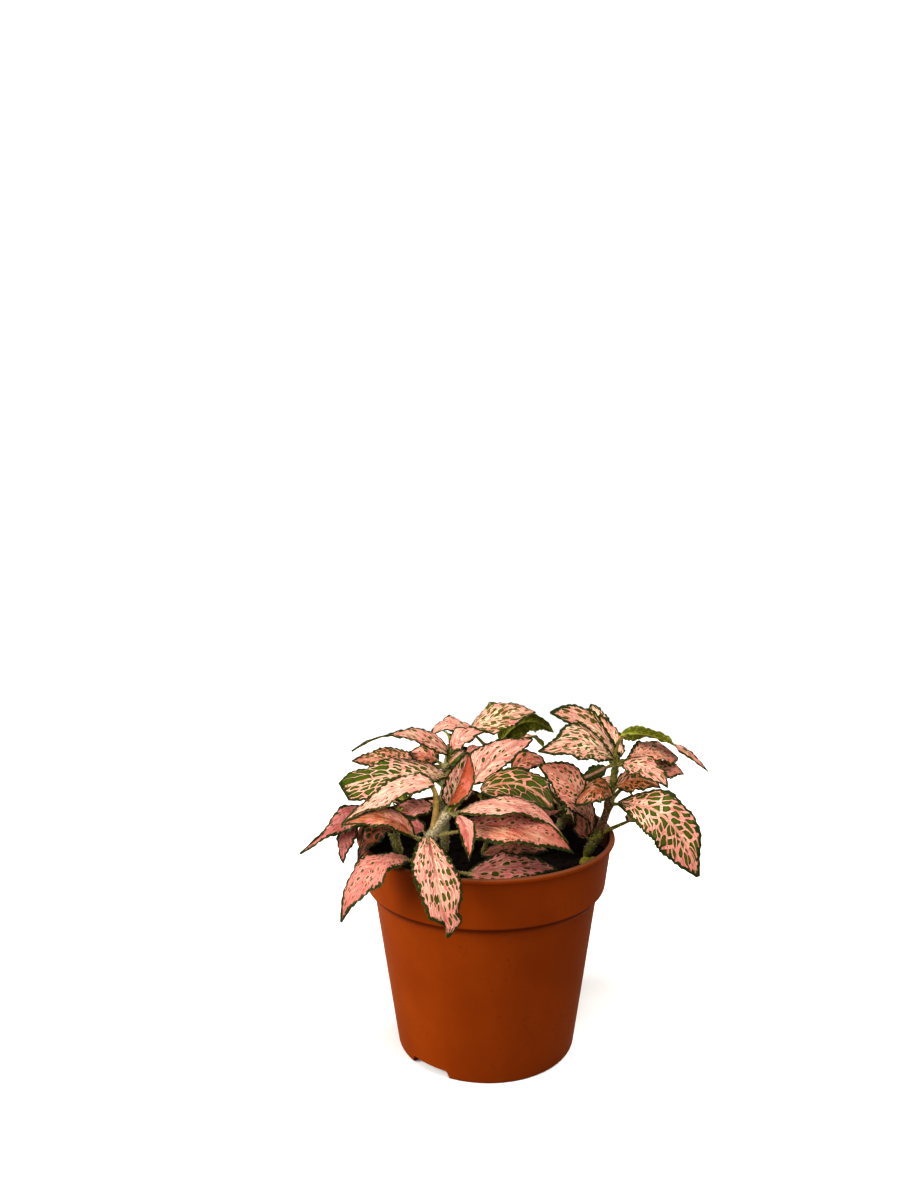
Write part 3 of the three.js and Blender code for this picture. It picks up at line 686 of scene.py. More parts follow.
# Share of green, its rise to the tip, cream, purple, brown, coral, size of the cells, how
# far along the leaf a side vein reaches the margin, and how long the cells are
LOOKS = dict(
    rosy=(0.2, 0, 0.25, 0, 0.05, 0.3, 0.8, 0.5, 2.6),
    blush=(0.2, 0, 0.5, 0, 0, 0.15, 0.9, 0.7, 2.6),
    flush=(0.18, 0, 0.38, 0, 0, 0.3, 0.85, 0.7, 2.8),
    plain=(0, 0, 0.1, 0, 0.05, 0.7, 0.8, 0.7, 2.6),
    rust=(0, 0, 0, 0, 1.3, 0.8, 0.8, 0.7, 2.6),
    ruddy=(0.04, 0, 0.4, 0, 0.65, 0.25, 0.7, 0.6, 2.6),
    amber=(0.04, 0, 0.4, 0, 0.4, 0.4, 0.7, 0.6, 2.6),
    rouged=(0.28, 0, 0.3, 0.15, 0.1, 0.6, 0.7, 0.6, 2.2),
    blotched=(0.26, 0, 0.2, 0.05, 0.25, 0.75, 0.75, 0.6, 2.2),
    flecked=(0.5, 0, 0.9, 0, 0, 0, 0.56, 0.6, 3.4),
    speckled=(0.5, 0.05, 0.5, 0, 0, 0.15, 0.64, 0.6, 3),
    dashed=(0.58, 0, 0.95, 0, 0, 0.05, 0.62, 0.8, 3.6),
    striped=(0.67, 0, 0.7, 0, 0.05, 0.1, 0.64, 0.8, 3.4),
    front=(0.44, 0, 0.5, 0, 0, 0.15, 0.8, 1.2, 2.9),
    islands=(0.86, 0.04, 0.4, 0, 0, 0.3, 1.3, 0.33, 2.3),
    laced=(0.8, 0.3, 0.75, 0, 0, 0.1, 0.8, 0.9, 2.8),
    patched=(0.9, 0.85, 0.7, 0, 0, 0.1, 1.35, 0.9, 2.4),
    netted=(1.02, 0.2, 0.45, 0, 0.4, 0.15, 1.12, 0.9, 3),
    mauve=(0.24, 0.1, 0.15, 0.3, 0.3, 0.2, 0.75, 0.5, 2.6),
    plum=(0.4, 0, 0.65, 0.42, 0.3, 0.15, 0.85, 0.7, 2.8),
    rowed=(0.66, 0, 0.4, 0, 0.35, 0.2, 0.5, 0.7, 2.4),
    russet=(0.56, 0, 0.35, 0, 0.85, 0, 0.6, 0.6, 2.8),
    tan=(0.38, 0, 0.5, 0, 0.25, 0.4, 0.66, 0.6, 2.8),
    shaded=(0.48, 0.1, 0.2, 0, 0.55, 0.1, 0.8, 0.6, 2.4),
    dusky=(0.84, 0, 0.1, 0, 1, 0.2, 1.1, 0.6, 1.8),
    olive=(1.25, 0, 0.4, 0, 0.2, 0, 1.4, 0.6, 2.4),
    orange=(0.38, 0, 0.9, 0, 0, 0.55, 0.7, 0.9, 3),
)

# Half widths from base to tip on either side of the midrib, as in the solids
FRONT_EDGE = ((1.9, 3.3, 4.6, 5.8, 6.8, 7.8, 8.9, 9.7, 9.6, 8.4, 6.3, 7.1, 1),
              (3.3, 5.1, 6.8, 8, 9.1, 9.7, 9.5, 8.8, 7.9, 7.1, 6.1, 0.5, 0.5))
OUTER_RIGHT = ((1.1, 5.2, 9.8, 12.3, 12, 11.8, 9.2, 4.4, 1.3),
               (1.2, 7.1, 10.7, 12.5, 13.6, 13.3, 11.6, 7.7, 0.6))
BROAD_LEFT = ((1.5, 5.5, 7.7, 9.6, 11.1, 13, 13.5, 12.5, 9),
              (1.5, 8, 11, 12, 11, 9.6, 8.8, 7.5, 4))
TAILED = ((1.5, 5, 5.3, 5.2, 3.6, 0.9, 0.7, 0.7, 0.5), (1.5, 6, 7, 6, 2.6, 0.9, 0.7, 0.7, 0.5))
LONG_RIGHT = ((0.8, 3.6, 4.4, 5.3, 7, 8.6, 8, 4, 0.5), (1.3, 7.3, 8.9, 8.9, 7.5, 5, 2.5, 1.2, 0.5))
UPPER_RIGHT = ((0.7, 5.3, 8.4, 10.1, 10.5, 10.1, 7.9, 5.8, 0.5),
               (0.8, 2.9, 7.3, 10.7, 10.9, 9, 4.6, 1.8, 0.5))
TOP_RIGHT = ((2.7, 4.5, 5.8, 6.6, 6.6, 6.1, 5.1, 3.1, 0.5),
             (1, 2, 2.7, 4.3, 6, 6.1, 6.2, 3.9, 0.6))
TOP_MIDDLE = ((1.5, 7, 10, 11, 10.8, 10, 6.8, 4.7, 0.6),
              (0.9, 4.9, 8.5, 11.3, 11.4, 9.5, 5.7, 3.3, 0.5))
TALL_MIDDLE = ((0.5, 4.3, 9.2, 9.5, 8.3, 7.3, 4.9, 2.6, 0.8),
               (1.5, 4.5, 5.2, 5.5, 5.4, 5, 3.9, 3, 0.8))
FOLDED = ((1.5, 5, 6.3, 6.5, 6.4, 5.8, 4.9, 3.3, 0.9),
          (1.5, 4.5, 6.4, 8.2, 9.4, 9.1, 7.3, 4.2, 0.5))
NETTED = ((1.5, 6.9, 8.4, 9, 9.7, 10.1, 8.5, 4.8, 1),
          (1.5, 6.9, 9.3, 10.8, 11.2, 10.7, 9, 5.9, 1.1))
INNER_RIGHT = ((0.9, 3.4, 5.9, 7.7, 8.7, 9, 7.1, 4.6, 0.8),
               (1.5, 3.5, 4.4, 4.6, 5.6, 8.1, 6.9, 4.1, 0.8))
SMALL_RIGHT = ((1, 3.9, 5.4, 6.3, 6.8, 6.8, 5.9, 4, 0.6),
               (1.3, 3.8, 6.7, 6.4, 4.4, 3, 2.2, 1.8, 0.9))
LOW_LEFT = ((2, 5.7, 6.5, 9, 11.3, 8.6, 6.9, 2.9, 0.5),
            (2.8, 3.6, 4.5, 6.4, 7.3, 7, 6.1, 3.3, 0.5))
NEAR_LEFT = ((0.9, 2.9, 4.2, 4.7, 5.2, 4.9, 4.3, 2.8, 0.5),
             (1.3, 4.2, 5.7, 5.9, 5.7, 4.7, 2.4, 0.8, 0.5))
ARCHED_LEFT = ((1.5, 5, 6.5, 7.8, 8.6, 7.8, 5.5, 2.5, 0.5),
               (1.5, 5.8, 6.3, 6.4, 5.4, 3.6, 2.2, 1.2, 0.5))
OUTER_LEFT = ((0.5, 4.8, 5.8, 5.7, 4.9, 4.2, 2.7, 2.1, 0.5),
              (0.5, 2.8, 5.7, 7.8, 7.9, 5.6, 2.1, 0.7, 0.5))
LOW_RIGHT = ((0.6, 3.9, 5.7, 7.2, 7.3, 6.5, 5, 3.4, 0.5),
             (0.9, 6.5, 7.7, 7.8, 7.4, 6.3, 4.7, 2.7, 0.5))
REAR_RIGHT = ((1.2, 3.5, 4.6, 5.1, 5.1, 4.9, 4.2, 3.3, 1.1),
              (1.2, 3, 3.6, 3.9, 3.9, 3.7, 3, 2, 0.7))

# Ways that the upper sides of many leaves face
LEVEL = (0, -0.4, 0.9)
TILTED = (0, -0.6, 0.8)
STEEP = (0, -0.8, 0.5)

FRONT_LEFT = leafy_stem(
    "front_left", 0.85, 0.15, 4400,
    [(-24, -37, 92), (-25, -41, 101), (-23, -45, 113), (-16, -44, 123)],
    leaf(2, (-21.5, -44, 135.5), (-40, -46, 133.5), (-61, -44, 118), ARCHED_LEFT, "flush", LEVEL,
         border=(1, 1.9), shade=-0.12, stalk=1.45, yellow=1),
    leaf(3, (-11, -46, 124), (13, -47, 127), (35.5, -38, 108), LONG_RIGHT, "blush",
         (0, -0.25, 0.9), border=(1.8, 1.1)),
    leaf(2, (-24, -50, 114), (-20, -67, 104.5), (-15.5, -74, 82), FRONT_EDGE, "front", line=1,
         border=1.3, shade=0.04),
    leaf(2, (-30, -49, 114), (-43, -51, 123.5), (-61, -45, 118), NEAR_LEFT, "ruddy",
         (0, -0.5, 0.8), line=0.9, border=(1, 1.5), shade=0.14),
    leaf(2, (-12, -47, 116), (14, -50, 119), (37, -45, 106), 18, ("blotched", "amber"), TILTED,
         border=(1, 1.5), shade=0.06),
    leaf(3, (-16, -44, 126), (-11, -43, 136), (-7, -40, 148), FOLDED, ("flecked", "rust"),
         (-0.3, -1, 0), fold=40, curl=0, wave=0, shade=0.12),
    leaf(3, (-12, -48, 123), (-8, -56, 119), (-7, -60, 108), 8, "plain", fold=30, shade=-0.12),
    leaf(1, (-33, -46, 103), (-48, -53, 102), (-60, -58, 81), LOW_LEFT, "rouged", (0, -0.3, 0.9),
         border=(1.5, 1.2), shade=0.15),
    leaf(1, (-8.5, -45, 96.5), (11, -46, 100.5), (31, -38, 96), LOW_RIGHT, "plum", (0, -0.5, 0.8),
         border=(1.7, 1.2)),
    leaf(1, (-26.5, -34, 111), (-31, -31, 112.5), (-36, -28, 113.5), 8, "mauve", (0, -0.7, 0.6),
         shade=0.3),
)

LEFT = leafy_stem(
    "left", 0.1, 0.3, 600,
    [(-40, -8, 92), (-42, -9, 102), (-41, -8, 108)],
    leaf(2, (-46, -9, 109.5), (-63.5, -12, 108), (-84, -18, 95), OUTER_LEFT, "mauve", TILTED,
         border=(1.2, 1.5), shade=0.12),
    leaf(1, (-59, -8, 105), (-64, -12, 99), (-65, -14, 89), 9, "mauve", (-0.4, -1, 0.4),
         shade=0.12),
    leaf(1, (-42, -20, 108), (-49, -27, 107.5), (-56, -33, 97.5), 13, "dusky", (-0.2, -0.3, 1),
         shade=0.85),
    leaf(2, (-39, -3, 108.5), (-33, -1, 109.5), (-25, 1, 107.5), 12, "mauve", shade=0.3),
)

MIDDLE_LEFT = leafy_stem(
    "middle_left", 0.35, 0.2, 1500,
    [(-19, 2, 92), (-19, 3, 116), (-18, 4, 129), (-16, 4, 140)],
    leaf(3, (-7, 8, 146), (8, 6, 153), (24, 10, 154), TOP_MIDDLE, "striped", LEVEL),
    leaf(3, (-16, -1, 139), (-10, -4, 146), (0, -4, 148), 11, "rosy", (0, -0.6, 0.7)),
    leaf(2, (-6, -11, 126), (6, -8, 137), (22, 0, 144), TALL_MIDDLE, "blush", (0.2, -0.8, 0.6)),
    leaf(3, (-16.5, 1, 136), (-38, -4, 147), (-60.5, -12, 141), TAILED, "speckled", LEVEL,
         wave=0.4),
    leaf(2, (-17, -1, 132), (-13, -4, 137), (-8, -5, 141), 10, "olive", STEEP, shade=0.2),
    leaf(2, (-22, 7, 131), (-30, 10, 133), (-40, 14, 130), 11, "shaded", STEEP),
    leaf(2, (-33, 7, 130), (-47, 8, 131.5), (-63, 6, 131.5), 13, "rowed", (0, -0.8, 0.6)),
    leaf(2, (-17.5, -3, 127), (-42, -13, 130), (-64, -22, 126.5), BROAD_LEFT, ("laced", "patched"),
         LEVEL, swell=1.55, border=1.2),
    leaf(1, (-24, -2, 112.5), (-34, -6, 112.5), (-44.5, -10, 112), 11, "rosy", TILTED),
)

CENTRE = leafy_stem(
    "centre", 0.1, 0.4, 600,
    [(6, -14, 92), (5, -17, 106), (2, -20, 119)],
    leaf(2, (-2, -23, 126), (15, -27, 130), (29, -34, 121), NETTED, "netted", (0.1, -0.5, 0.8),
         shade=0.08),
    leaf(1, (-2, -31, 99.5), (15, -31, 103.5), (28, -25, 99.5), 14, "shaded", shade=0.4),
    leaf(2, (12, -14, 133), (20, -12, 137), (28, -12, 134), 10, "shaded", (0, -0.7, 0.6),
         shade=0.3),
)

RIGHT = leafy_stem(
    "right", 0.0, 0.95, 900,
    [(47, -6, 92), (52, -5, 100), (57, -4, 114), (60, -3, 131)],
    leaf(2, (61, -6, 115), (82, -14, 110), (95, -18, 85), OUTER_RIGHT, "islands", (0, -0.6, 0.7),
         border=1.9, shade=-0.05, dusk=-0.85),
    leaf(2, (58, -8, 119), (49, -14, 124), (40, -22, 119), SMALL_RIGHT, "russet", (0, -0.7, 0.7),
         dusk=0.25),
    leaf(3, (59, -5, 135.5), (43, -11, 145), (23.5, -20, 143), UPPER_RIGHT, "dashed", TILTED,
         border=(1.3, 1.8)),
    leaf(3, (61, 0, 136), (49, 2, 150), (30, -2, 156.5), TOP_RIGHT, "striped", STEEP,
         border=(1.2, 1.6)),
    leaf(3, (58, 6, 133.5), (54.5, 16, 148), (51.5, 24, 155), 11, "dashed", TILTED),
    leaf(3, (63, 5, 144), (84, 13, 140.5), (106, 12, 125), 12, "speckled", (0, 0.3, 1), twist=130),
    leaf(3, (65, 0, 134), (79, 10, 135), (93, 18, 130), 19, "tan", LEVEL, belly=1.35,
         border=(1.8, 1), shade=-0.2),
    leaf(3, (62, -8, 134), (72, -15, 134), (80, -24, 128), 15, "speckled", LEVEL),
    leaf(2, (66, 2, 122), (83, 8, 127), (95, 14, 123), 12, "tan", (0, -0.7, 0.7)),
    leaf(2, (60, -6, 123), (69, -12, 128), (78, -18, 126), 12, "russet", (0, -0.8, 0.6)),
    leaf(1, (67, 5, 103), (75, 12, 101), (84, 20, 92), 11, "russet"),
    leaf(3, (56, -2, 131), (50, 0, 127), (44, 2, 124), 8, "olive", (0, -0.7, 0.7), shade=0.3),
    leaf(1, (48, -8, 101), (41, -12, 123), (24, -18, 136), INNER_RIGHT, "tan", (0.2, -1, 0.3),
         shade=-0.5, dusk=0.85),
    leaf(3, (62.5, 4, 134), (60.5, 9, 142), (54, 11, 152.5), REAR_RIGHT, "orange", STEEP,
         shade=-0.35),
    leaf(1, (46.5, -12, 100.5), (43.5, -14, 107), (40.5, -15, 114), 9, "shaded", (0.3, -1, 0.3),
         shade=0.6),
)

DRAW_RANGE = 2147483647
rear_draws = [7]


def draw(low, high):
    """The seeded draw that also places the rear leaves of the solids."""
    rear_draws.append(rear_draws[-1] * 16807 % DRAW_RANGE)
    return low + (high - low) * rear_draws[-1] / DRAW_RANGE


def paired_stem(name, foot, lean, rise, pairs, turn, length, looks):
    """A stem with opposite pairs of leaves, each pair square to the pair below."""
    stem = [(*foot, STEM_FOOT)]
    leaves = []
    for pair in range(1, pairs + 1):
        knot = np.add((*foot, STEM_FOOT), np.multiply((*lean, rise), pair))
        stem.append(tuple(knot))
        for half in (0, 180):
            azimuth = math.radians(turn + 90 * pair + half + draw(-12, 12))
            x, y = math.sin(azimuth), -math.cos(azimuth)
            light = 0.72 + (0.28 * (x * foot[0] + y * foot[1])) / math.hypot(*foot)
            reach = length * light * (1 - 0.08 * (pair - 1)) * draw(0.9, 1.1)
            lift = draw(2, 5)
            ways = (6, 3), (6 + reach * 0.5, 5 + lift), (6 + reach * 0.9, 1.5 - lift)
            places = [knot + (x * out, y * out, up) for out, up in ways]
            width = reach * draw(0.42, 0.5)
            look = looks[len(leaves) % len(looks)]
            leaves.append(leaf(pair, *places, width, look, (0, 0, 1), phase=draw(0, 6)))
    return leafy_stem(name, 0.15, 0.4, 600, stem, *leaves)


BACK_LEFT = paired_stem("back_left", (-34, 26), (-3, 2), 6, 2, 140, 40,
                        ("dashed", "islands", "speckled"))
BACK = paired_stem("back", (2, 32), (1, 2), 11, 3, 40, 42,
                   ("islands", "speckled", "dashed", "netted", "rosy"))
BACK["leaves"] += [
    leaf(3, (8, 32, 134), (20, 25, 146), (33, 16, 143), 16, "speckled", (0, 0.9, 0.5), shade=0.5),
    leaf(3, (-3, 34, 136), (-15, 28, 144), (-27, 24, 139), 15, "blush"),
]
BACK_RIGHT = paired_stem("back_right", (37, 26), (2, 1), 6, 2, 110, 36,
                         ("speckled", "dashed", "islands"))
BACK_RIGHT["leaves"] += [
    leaf(1, (35, 24, 100), (31, 17, 103.5), (26.5, 10, 100.5), 12, "mauve", (0, 0, 1)),
]

STEMS = [FRONT_LEFT, LEFT, MIDDLE_LEFT, CENTRE, RIGHT, BACK_LEFT, BACK, BACK_RIGHT]


def midrib(leaf, t):
    """Points, tangents, face normals and side directions along the midrib."""
    base, mid, tip = (np.array(leaf[key], float) for key in ("base", "mid", "tip"))
    pull = 2 * mid - 0.5 * base - 0.5 * tip
    t = np.asarray(t, float)[:, None]
    along = unit(2 * (1 - t) * (pull - base) + 2 * t * (tip - pull))
    face = unit(np.array(leaf["face"], float))
    normal = unit(face - (along @ face)[:, None] * along)
    turn = np.radians(leaf["twist"] * (t - 0.5))
    normal = normal * np.cos(turn) + np.cross(along, normal) * np.sin(turn)
    return bezier(base, pull, tip, t), along, normal, np.cross(along, normal)


def through(knots, steps):
    """A smooth path through the knots."""
    knots = np.array(knots, float)
    padded = np.concatenate([[2 * knots[0] - knots[1]], knots, [2 * knots[-1] - knots[-2]]])
    path = []
    for i in range(1, len(padded) - 2):
        a, b, c, d = padded[i - 1:i + 3]
        for t in np.arange(steps) / steps:
            path.append(0.5 * (2 * b + (c - a) * t + (2 * a - 5 * b + 4 * c - d) * t ** 2
                               + (3 * b - a - 3 * c + d) * t ** 3))
    return np.array([*path, knots[-1]])


def half_width(leaf, t, sign):
    """Half widths along the blade on the side of each sign: by a rule, or through given ones."""
    width = leaf["width"]
    if isinstance(width, tuple):
        lines = [through([(half, 0.0) for half in side], 8)[:, 0] for side in width]
        low, high = (np.interp(t, np.linspace(0, 1, len(line)), line) for line in lines)
    else:
        full = np.maximum(np.sin(math.pi * t ** leaf["belly"]), 0)
        low = high = (width / 2) * full ** 0.85
    body = np.where(sign < 0, low[:, None], high[:, None])
    return np.maximum(body, BLADE_END_WIDTH / 2)


def look_values(leaf, sign):
    """The look's numbers for each column: a leaf may have a look of its own on either side."""
    looks = leaf["look"]
    looks = (looks, looks) if isinstance(looks, str) else looks
    low, high = (np.array(LOOKS[name])[:, None] for name in looks)
    return np.where(sign < 0, low, high)


def saw(turns):
    """Teeth that rise slowly and drop fast towards the tip."""
    part = turns % 1
    return np.where(part < 0.75, part / 0.75, (1 - part) / 0.25)


def sheet_faces(rows, columns):
    """Faces of a thin closed sheet: a grid of points, the same grid under it, and its rim."""
    quads = grid_faces(rows, columns)
    under = rows * columns
    left, col = np.arange(rows - 1) * columns, np.arange(columns - 1)
    right, last = left + columns - 1, (rows - 1) * columns + col
    return [
        quads,
        quads[:, ::-1] + under,
        np.stack([left, left + columns, under + left + columns, under + left], -1),
        np.stack([right, under + right, under + right + columns, right + columns], -1),
        np.stack([col, under + col, under + col + 1, col + 1], -1),
        np.stack([last, last + 1, under + last + 1, under + last], -1),
    ]


def blade(shape, leaf, seed):
    """A closed thin blade: teeth and ruffles at its margin, quilted between its side veins."""
    length = np.linalg.norm(np.array(leaf["tip"], float) - leaf["base"])
    teeth = max(6, round(length / TOOTH_PITCH))
    s = np.concatenate([-BLADE_REACH[:0:-1], BLADE_REACH])
    sign, reach = np.sign(s), np.abs(s)
    line = np.linspace(0, 1, teeth * TOOTH_ROWS + 1)
    t = line[:, None]
    at, along, normal, side = midrib(leaf, line)
    run = np.concatenate([[0], np.cumsum(np.linalg.norm(np.diff(at, axis=0), axis=1))])

    # Margin, and the bend of the sheet across the midrib
    body = half_width(leaf, line, sign)
    swell = np.sin(math.pi * t)
    turns = teeth * t + np.where(sign > 0, 0.0, 0.45) + seed
    tooth = TOOTH_HEIGHT * (saw(turns) - 0.5) * np.minimum(swell * 2.5, 1)
    tooth = tooth * np.minimum(body / 3, 1)
    lobes = np.sin(turns * 1.31 + seed * 9) + 0.7 * np.sin(turns * 2.17 + seed * 5 + sign)
    margin = body + (tooth + 0.2 * lobes * swell) * reach ** 5
    fold = math.radians(leaf["fold"])
    bend = math.radians(leaf["curl"]) or 1e-3
    out = margin * (np.sin(fold + bend * reach) - math.sin(fold)) / bend
    lift = margin * (math.cos(fold) - np.cos(fold + bend * reach)) / bend
    phase = FULL_TURN * WAVE_COUNT * t + leaf["phase"] + np.where(sign > 0, 0, 1.7)
    ripple = leaf["wave"] * np.sin(phase) * reach ** 2 * swell
    ruffle = 0.3 * np.sin(turns * math.pi + seed * 3) * reach ** 6 * swell

    # The run along the side veins and the way across them, for the quilting and the cells
    cover, rise, cream, purple, brown, coral, cell, fan, long = look_values(leaf, sign)
    off = margin * reach
    lean = np.array([1 / run[-1], 0]) + np.outer(fan / (0.85 * body.max(axis=0)), (0, 1))
    steep = np.linalg.norm(lean, axis=1)
    swell_rate = leaf.get("swell", 0.0)
    growth = 1 + swell_rate * (t - 0.5)
    part = np.log(growth) / swell_rate + 0.5 if swell_rate else t
    across = (part - fan * reach ** 1.15 / growth) / steep
    forward = run[-1] * part * lean[:, 1] + off / growth * lean[:, 0]
    forward = forward / steep * CELL_LENGTH / long
    pillow = 1 - (2 * ((across / QUILT_PITCH + seed) % 1) - 1) ** 2
    window = smooth(reach, 0.06, 0.3) * smooth(reach, 1.0, 0.75) * np.minimum(swell * 2, 1)

    # Upper and lower sides
    height = lift + ripple + ruffle + QUILT_HEIGHT * (pillow - 0.5) * window
    thick = BLADE_HALF_THICKNESS * (1 - 0.55 * reach ** 4)
    groove = MIDRIB_GROOVE * np.exp(-(off / 0.6) ** 2) * (1 - 0.6 * t)
    ridge = MIDRIB_RIDGE * np.exp(-(off / 0.55) ** 2) * (1 - 0.7 * t)
    sheet = at[:, None] + side[:, None] * (sign * out)[..., None]
    upper = sheet + normal[:, None] * (height + thick - groove)[..., None]
    lower = sheet + normal[:, None] * (height - thick - ridge)[..., None]
    rim = np.ones(margin.shape, int)
    rim[1:-1, 1:-1] = 0

    # Point values of the pattern
    slope = np.gradient(body, run, axis=0)
    inward = (margin - off) / np.sqrt(1 + slope ** 2)
    border = np.broadcast_to(leaf.get("border", 1.0), 2)
    inward = np.minimum(inward, (run[-1] - run)[:, None] * 0.5) / np.where(sign < 0, *border)
    share = cover + rise * (t - 0.5)
    heart = smooth(reach, 1.0, 0.1) * smooth(t, 1.05, 0.35)
    redness = leaf.get("line", 0.35) * smooth(t, 0.75, 0.0)
    # Painted shade on the blade, with more painted shade towards the base, or painted light there
    # where that value is negative
    shade = leaf.get("shade", 0.0) + leaf.get("dusk", 0.0) * smooth(t, 0.6, 0.1)

    def values(*three, under=(1, 1, 1)):
        """Three numbers for each point of the upper side and then of the lower side."""
        grid = [np.broadcast_to(value, margin.shape) for value in three]
        grid = np.stack(grid, -1).reshape(-1, 3)
        return np.concatenate([grid, grid * under])

    shape.add(
        np.concatenate([upper.reshape(-1, 3), lower.reshape(-1, 3)]),
        sheet_faces(*margin.shape),
        rim=np.concatenate([rim.ravel(), rim.ravel() * 2]),
        leaf_spot=values(run[:, None], sign * off, inward),
        leaf_vein=values(forward, across, 1, under=(1, 1, 0)),
        leaf_look=values(share, cream * (0.45 + 0.55 * heart), cell),
        leaf_tint=values(purple, brown, coral * (0.3 + 1.1 * t ** 2)),
        leaf_line=values(redness, shade, seed),
    )


def stem_line(spec):
    """Path and radii of a stem: it tapers upwards and swells at its knots."""
    knots = np.array(spec["stem"], float)
    path = np.concatenate([[[*knots[0][:2], STEM_START]], through(knots, 12)])
    radii = STEM_RADIUS * (1 - 0.22 * np.linspace(0, 1, len(path)))
    for knot in knots[1:]:
        away = np.linalg.norm(path - knot, axis=1)
        radii = radii + KNOT_SWELL * np.exp(-(away / KNOT_REACH) ** 2)
    radii[-1] *= 0.55
    return path, radii


def stalk_line(leaf, knot):
    """Path and radii of a leaf stalk from its knot into the underside of its blade."""
    at, along, normal, _ = midrib(leaf, [0.0, 0.1])
    end = at[1] - normal[1] * 0.45
    lead = at[0] - along[0] * STALK_BEND
    t = np.linspace(0, 1, STALK_STEPS)[:, None]
    radii = np.linspace(STALK_RADIUS * 1.15, STALK_RADIUS * 0.62, STALK_STEPS)
    return bezier(knot, lead, end, t), leaf.get("stalk", 1.0) * radii


def hairs(shape, path, radii, count, length, rng):
    """Short tapering hairs that stand out from a stem."""
    tangents, across, upward = path_frame(path)
    step = np.linalg.norm(np.diff(path, axis=0), axis=1)
    where = rng.choice(len(step), count, p=step / step.sum())
    part = rng.random(count)[:, None]
    turn = rng.uniform(0, FULL_TURN, count)[:, None]
    centre = path[where] * (1 - part) + path[where + 1] * part
    radius = radii[where, None] * (1 - part) + radii[where + 1, None] * part
    outward = across[where] * np.cos(turn) + upward[where] * np.sin(turn)
    lean = unit(outward + tangents[where] * rng.uniform(-0.5, 0.7, (count, 1))
                + rng.normal(0, 0.2, (count, 3)))
    root = centre + outward * radius * 0.93
    tip = root + lean * length * rng.uniform(0.5, 1.0, (count, 1))
    one = unit(np.cross(lean, tangents[where] + 0.01))
    two = np.cross(lean, one)
    ring = [root + HAIR_RADIUS * (one * math.cos(a) + two * math.sin(a))
            for a in (0, 2.094, 4.189)]
    first = np.arange(count)[:, None] * 4
    faces = first[:, None] + np.array([(0, 1, 3), (1, 2, 3), (2, 0, 3), (2, 1, 0)])
    shape.add(np.stack([*ring, tip], 1), [faces.reshape(-1, 3)])


def buds(shape, spec, seed):
    """Two pairs of small folded leaves at the growing tip of a stem."""
    top = np.array(spec["stem"][-1], float)
    rise = unit(top - np.array(spec["stem"][-2], float))
    for i in range(4):
        turn = i * math.pi / 2 + seed
        out = np.array([math.cos(turn), math.sin(turn), 0])
        size = BUD_SIZES[i % 2]
        base = top + rise * 0.8 + out * 0.5
        mid = base + rise * size * 0.6 + out * size * 0.22
        tip = base + rise * size + out * size * 0.7
        young = leaf(0, base, mid, tip, size * 0.5, "olive", rise - out, fold=35, curl=10,
                     wave=0.1, shade=0.3)
        blade(shape, young, seed + i * 0.3)


def make_leafy_stem(spec, index, materials):
    rng = np.random.default_rng(STEM_SEED + index)
    blades, wood, down = Shape(), Shape(), Shape()
    path, radii = stem_line(spec)
    low, high = spec["stem"][1][2], spec["stem"][-1][2]
    height = np.append(np.repeat(path[:, 2], STEM_SIDES), path[[0, -1], 2])
    bare = smooth(height, low, low + 3) * smooth(height, high - 9, high - 14)
    tint = np.stack([np.full(len(height), spec["woolly"]), spec["brown"] * bare, 0 * bare], -1)
    tube(wood, path, radii, STEM_SIDES, stem_tint=tint)
    hairs(down, path[1:], radii[1:], spec["hairs"], STEM_HAIR, rng)
    for i, one in enumerate(spec["leaves"]):
        blade(blades, one, (index * 0.37 + i * 0.618) % 1)
        line, thickness = stalk_line(one, np.array(spec["stem"][one["knot"]], float))
        tint = spec["woolly"] * 0.2, 0, one.get("yellow", 0.2)
        tube(wood, line, thickness, 8, stem_tint=tint)
        hairs(down, line, thickness, STALK_HAIRS, STALK_HAIR, rng)
    buds(blades, spec, index * 0.7)
    endings = zip((blades, wood, down), ("blades", "stem", "hairs"), materials)
    for shape, ending, material in endings:
        finish_piece(shape.build(f"{spec['name']}_{ending}", material), spec["name"])


def make_fallen_leaf():
    shape = Shape()
    shed = leaf(0, (42, -20, 92), (47, -17, 92), (51, -12, 91.8), 6, fold=4, curl=0, wave=0.25)
    blade(shape, shed, 0.4)
    finish_piece(shape.build("shed_leaf", dead_leaf_material()), "fallen_leaf")


make_pot()
make_soil()
plant_materials = leaf_material(), stem_material(), hair_material()
for number, stem_spec in enumerate(STEMS):
    make_leafy_stem(stem_spec, number, plant_materials)
make_fallen_leaf()


# Floor, lights and camera. The floor and the lights are in metres

FLOOR_RADIUS = 0.6
FLOOR_STEPS = 96
WORLD_LEVEL = 0.71
CAMERA_PLACE = (-2.8, -444.0, 255.7)
CAMERA_YAW = 1.67
CAMERA_PITCH = 6.06
CAMERA_ROLL = -0.38
FOCAL_PIXELS = 977.0
FRAME_HEIGHT = 1200.0
SENSOR = 36.0


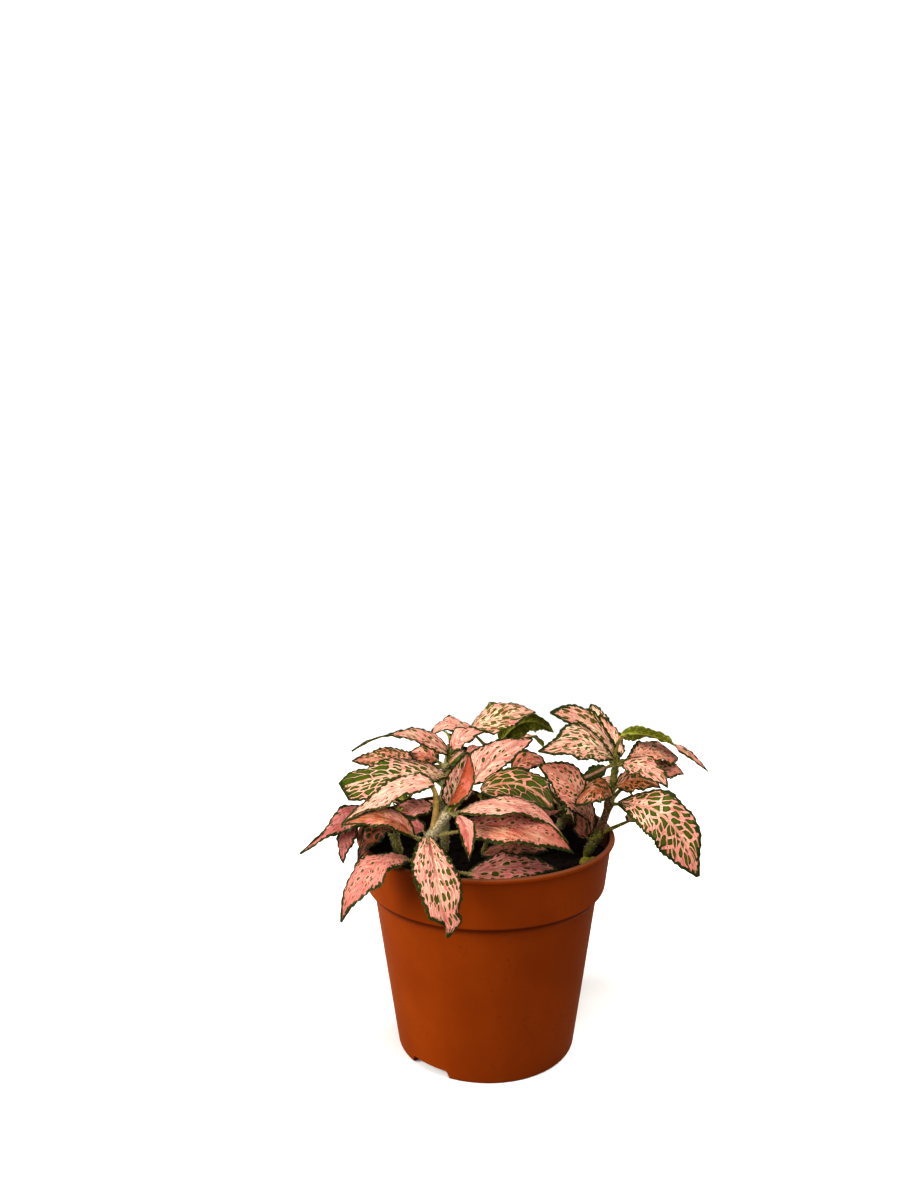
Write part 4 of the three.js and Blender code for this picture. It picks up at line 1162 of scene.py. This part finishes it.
def make_floor():
    """A pale disc, small enough for the lights to reach all of it."""
    turn = circle(FLOOR_STEPS)
    rim = np.stack([np.cos(turn), np.sin(turn), 0 * turn], -1) * FLOOR_RADIUS
    mesh = bpy.data.meshes.new("floor")
    mesh.from_pydata(rim.tolist(), [], [list(range(FLOOR_STEPS))])
    g = Graph("floor_paper")
    tone = g.noise(g.place(), 0.004, 2.0)
    paper = g.mix(tone, (0.46, 0.45, 0.44, 1.0), (0.49, 0.48, 0.47, 1.0))
    mesh.materials.append(g.finish(paper, 0.8, 0.1))
    floor = new_object("floor", mesh)


def make_light(name, at, size, watts, colour, aim=(0, 0, 0.1), gloss=True):
    data = bpy.data.lights.new(name, "AREA")
    data.shape = "DISK"
    data.size = size
    data.energy = watts
    data.color = colour
    lamp = new_object(name, data)
    lamp.location = at
    lamp.visible_glossy = gloss
    lamp.rotation_euler = (Vector(aim) - Vector(at)).to_track_quat("-Z", "Y").to_euler()


def make_world():
    """Even white surroundings."""
    world = bpy.data.worlds.new("studio")
    world.use_nodes = True
    inputs = world.node_tree.nodes["Background"].inputs
    inputs["Color"].default_value = (1.0, 1.0, 1.0, 1.0)
    inputs["Strength"].default_value = WORLD_LEVEL
    bpy.context.scene.world = world


def make_camera():
    data = bpy.data.cameras.new("camera")
    data.sensor_width = SENSOR
    data.lens = SENSOR * FOCAL_PIXELS / FRAME_HEIGHT
    data.clip_start = 0.01
    place = Matrix.Translation(Vector(CAMERA_PLACE) * MM)
    for angle, axis in (CAMERA_YAW, "Z"), (90 - CAMERA_PITCH, "X"), (CAMERA_ROLL, "Z"):
        place = place @ Matrix.Rotation(math.radians(angle), 4, axis)
    camera = new_object("camera", data)
    camera.matrix_world = place
    bpy.context.scene.camera = camera


make_floor()
make_world()
make_light("key", (-1.1, -0.45, 0.5), 0.8, 40.0, (1.0, 0.98, 0.95))
make_light("top", (0.35, -0.45, 1.1), 0.6, 16.0, (1.0, 0.99, 0.97))
make_light("fill", (0.1, -1.0, 0.45), 0.7, 5.0, (0.98, 0.99, 1.0))
make_light("rear", (0.8, 1.1, 0.5), 0.8, 18.0, (1.0, 0.99, 0.97), (0, 0, 0.08), gloss=False)
make_camera()
bpy.context.scene.view_settings.view_transform = "Standard"
bpy.context.scene.view_settings.look = "High Contrast"
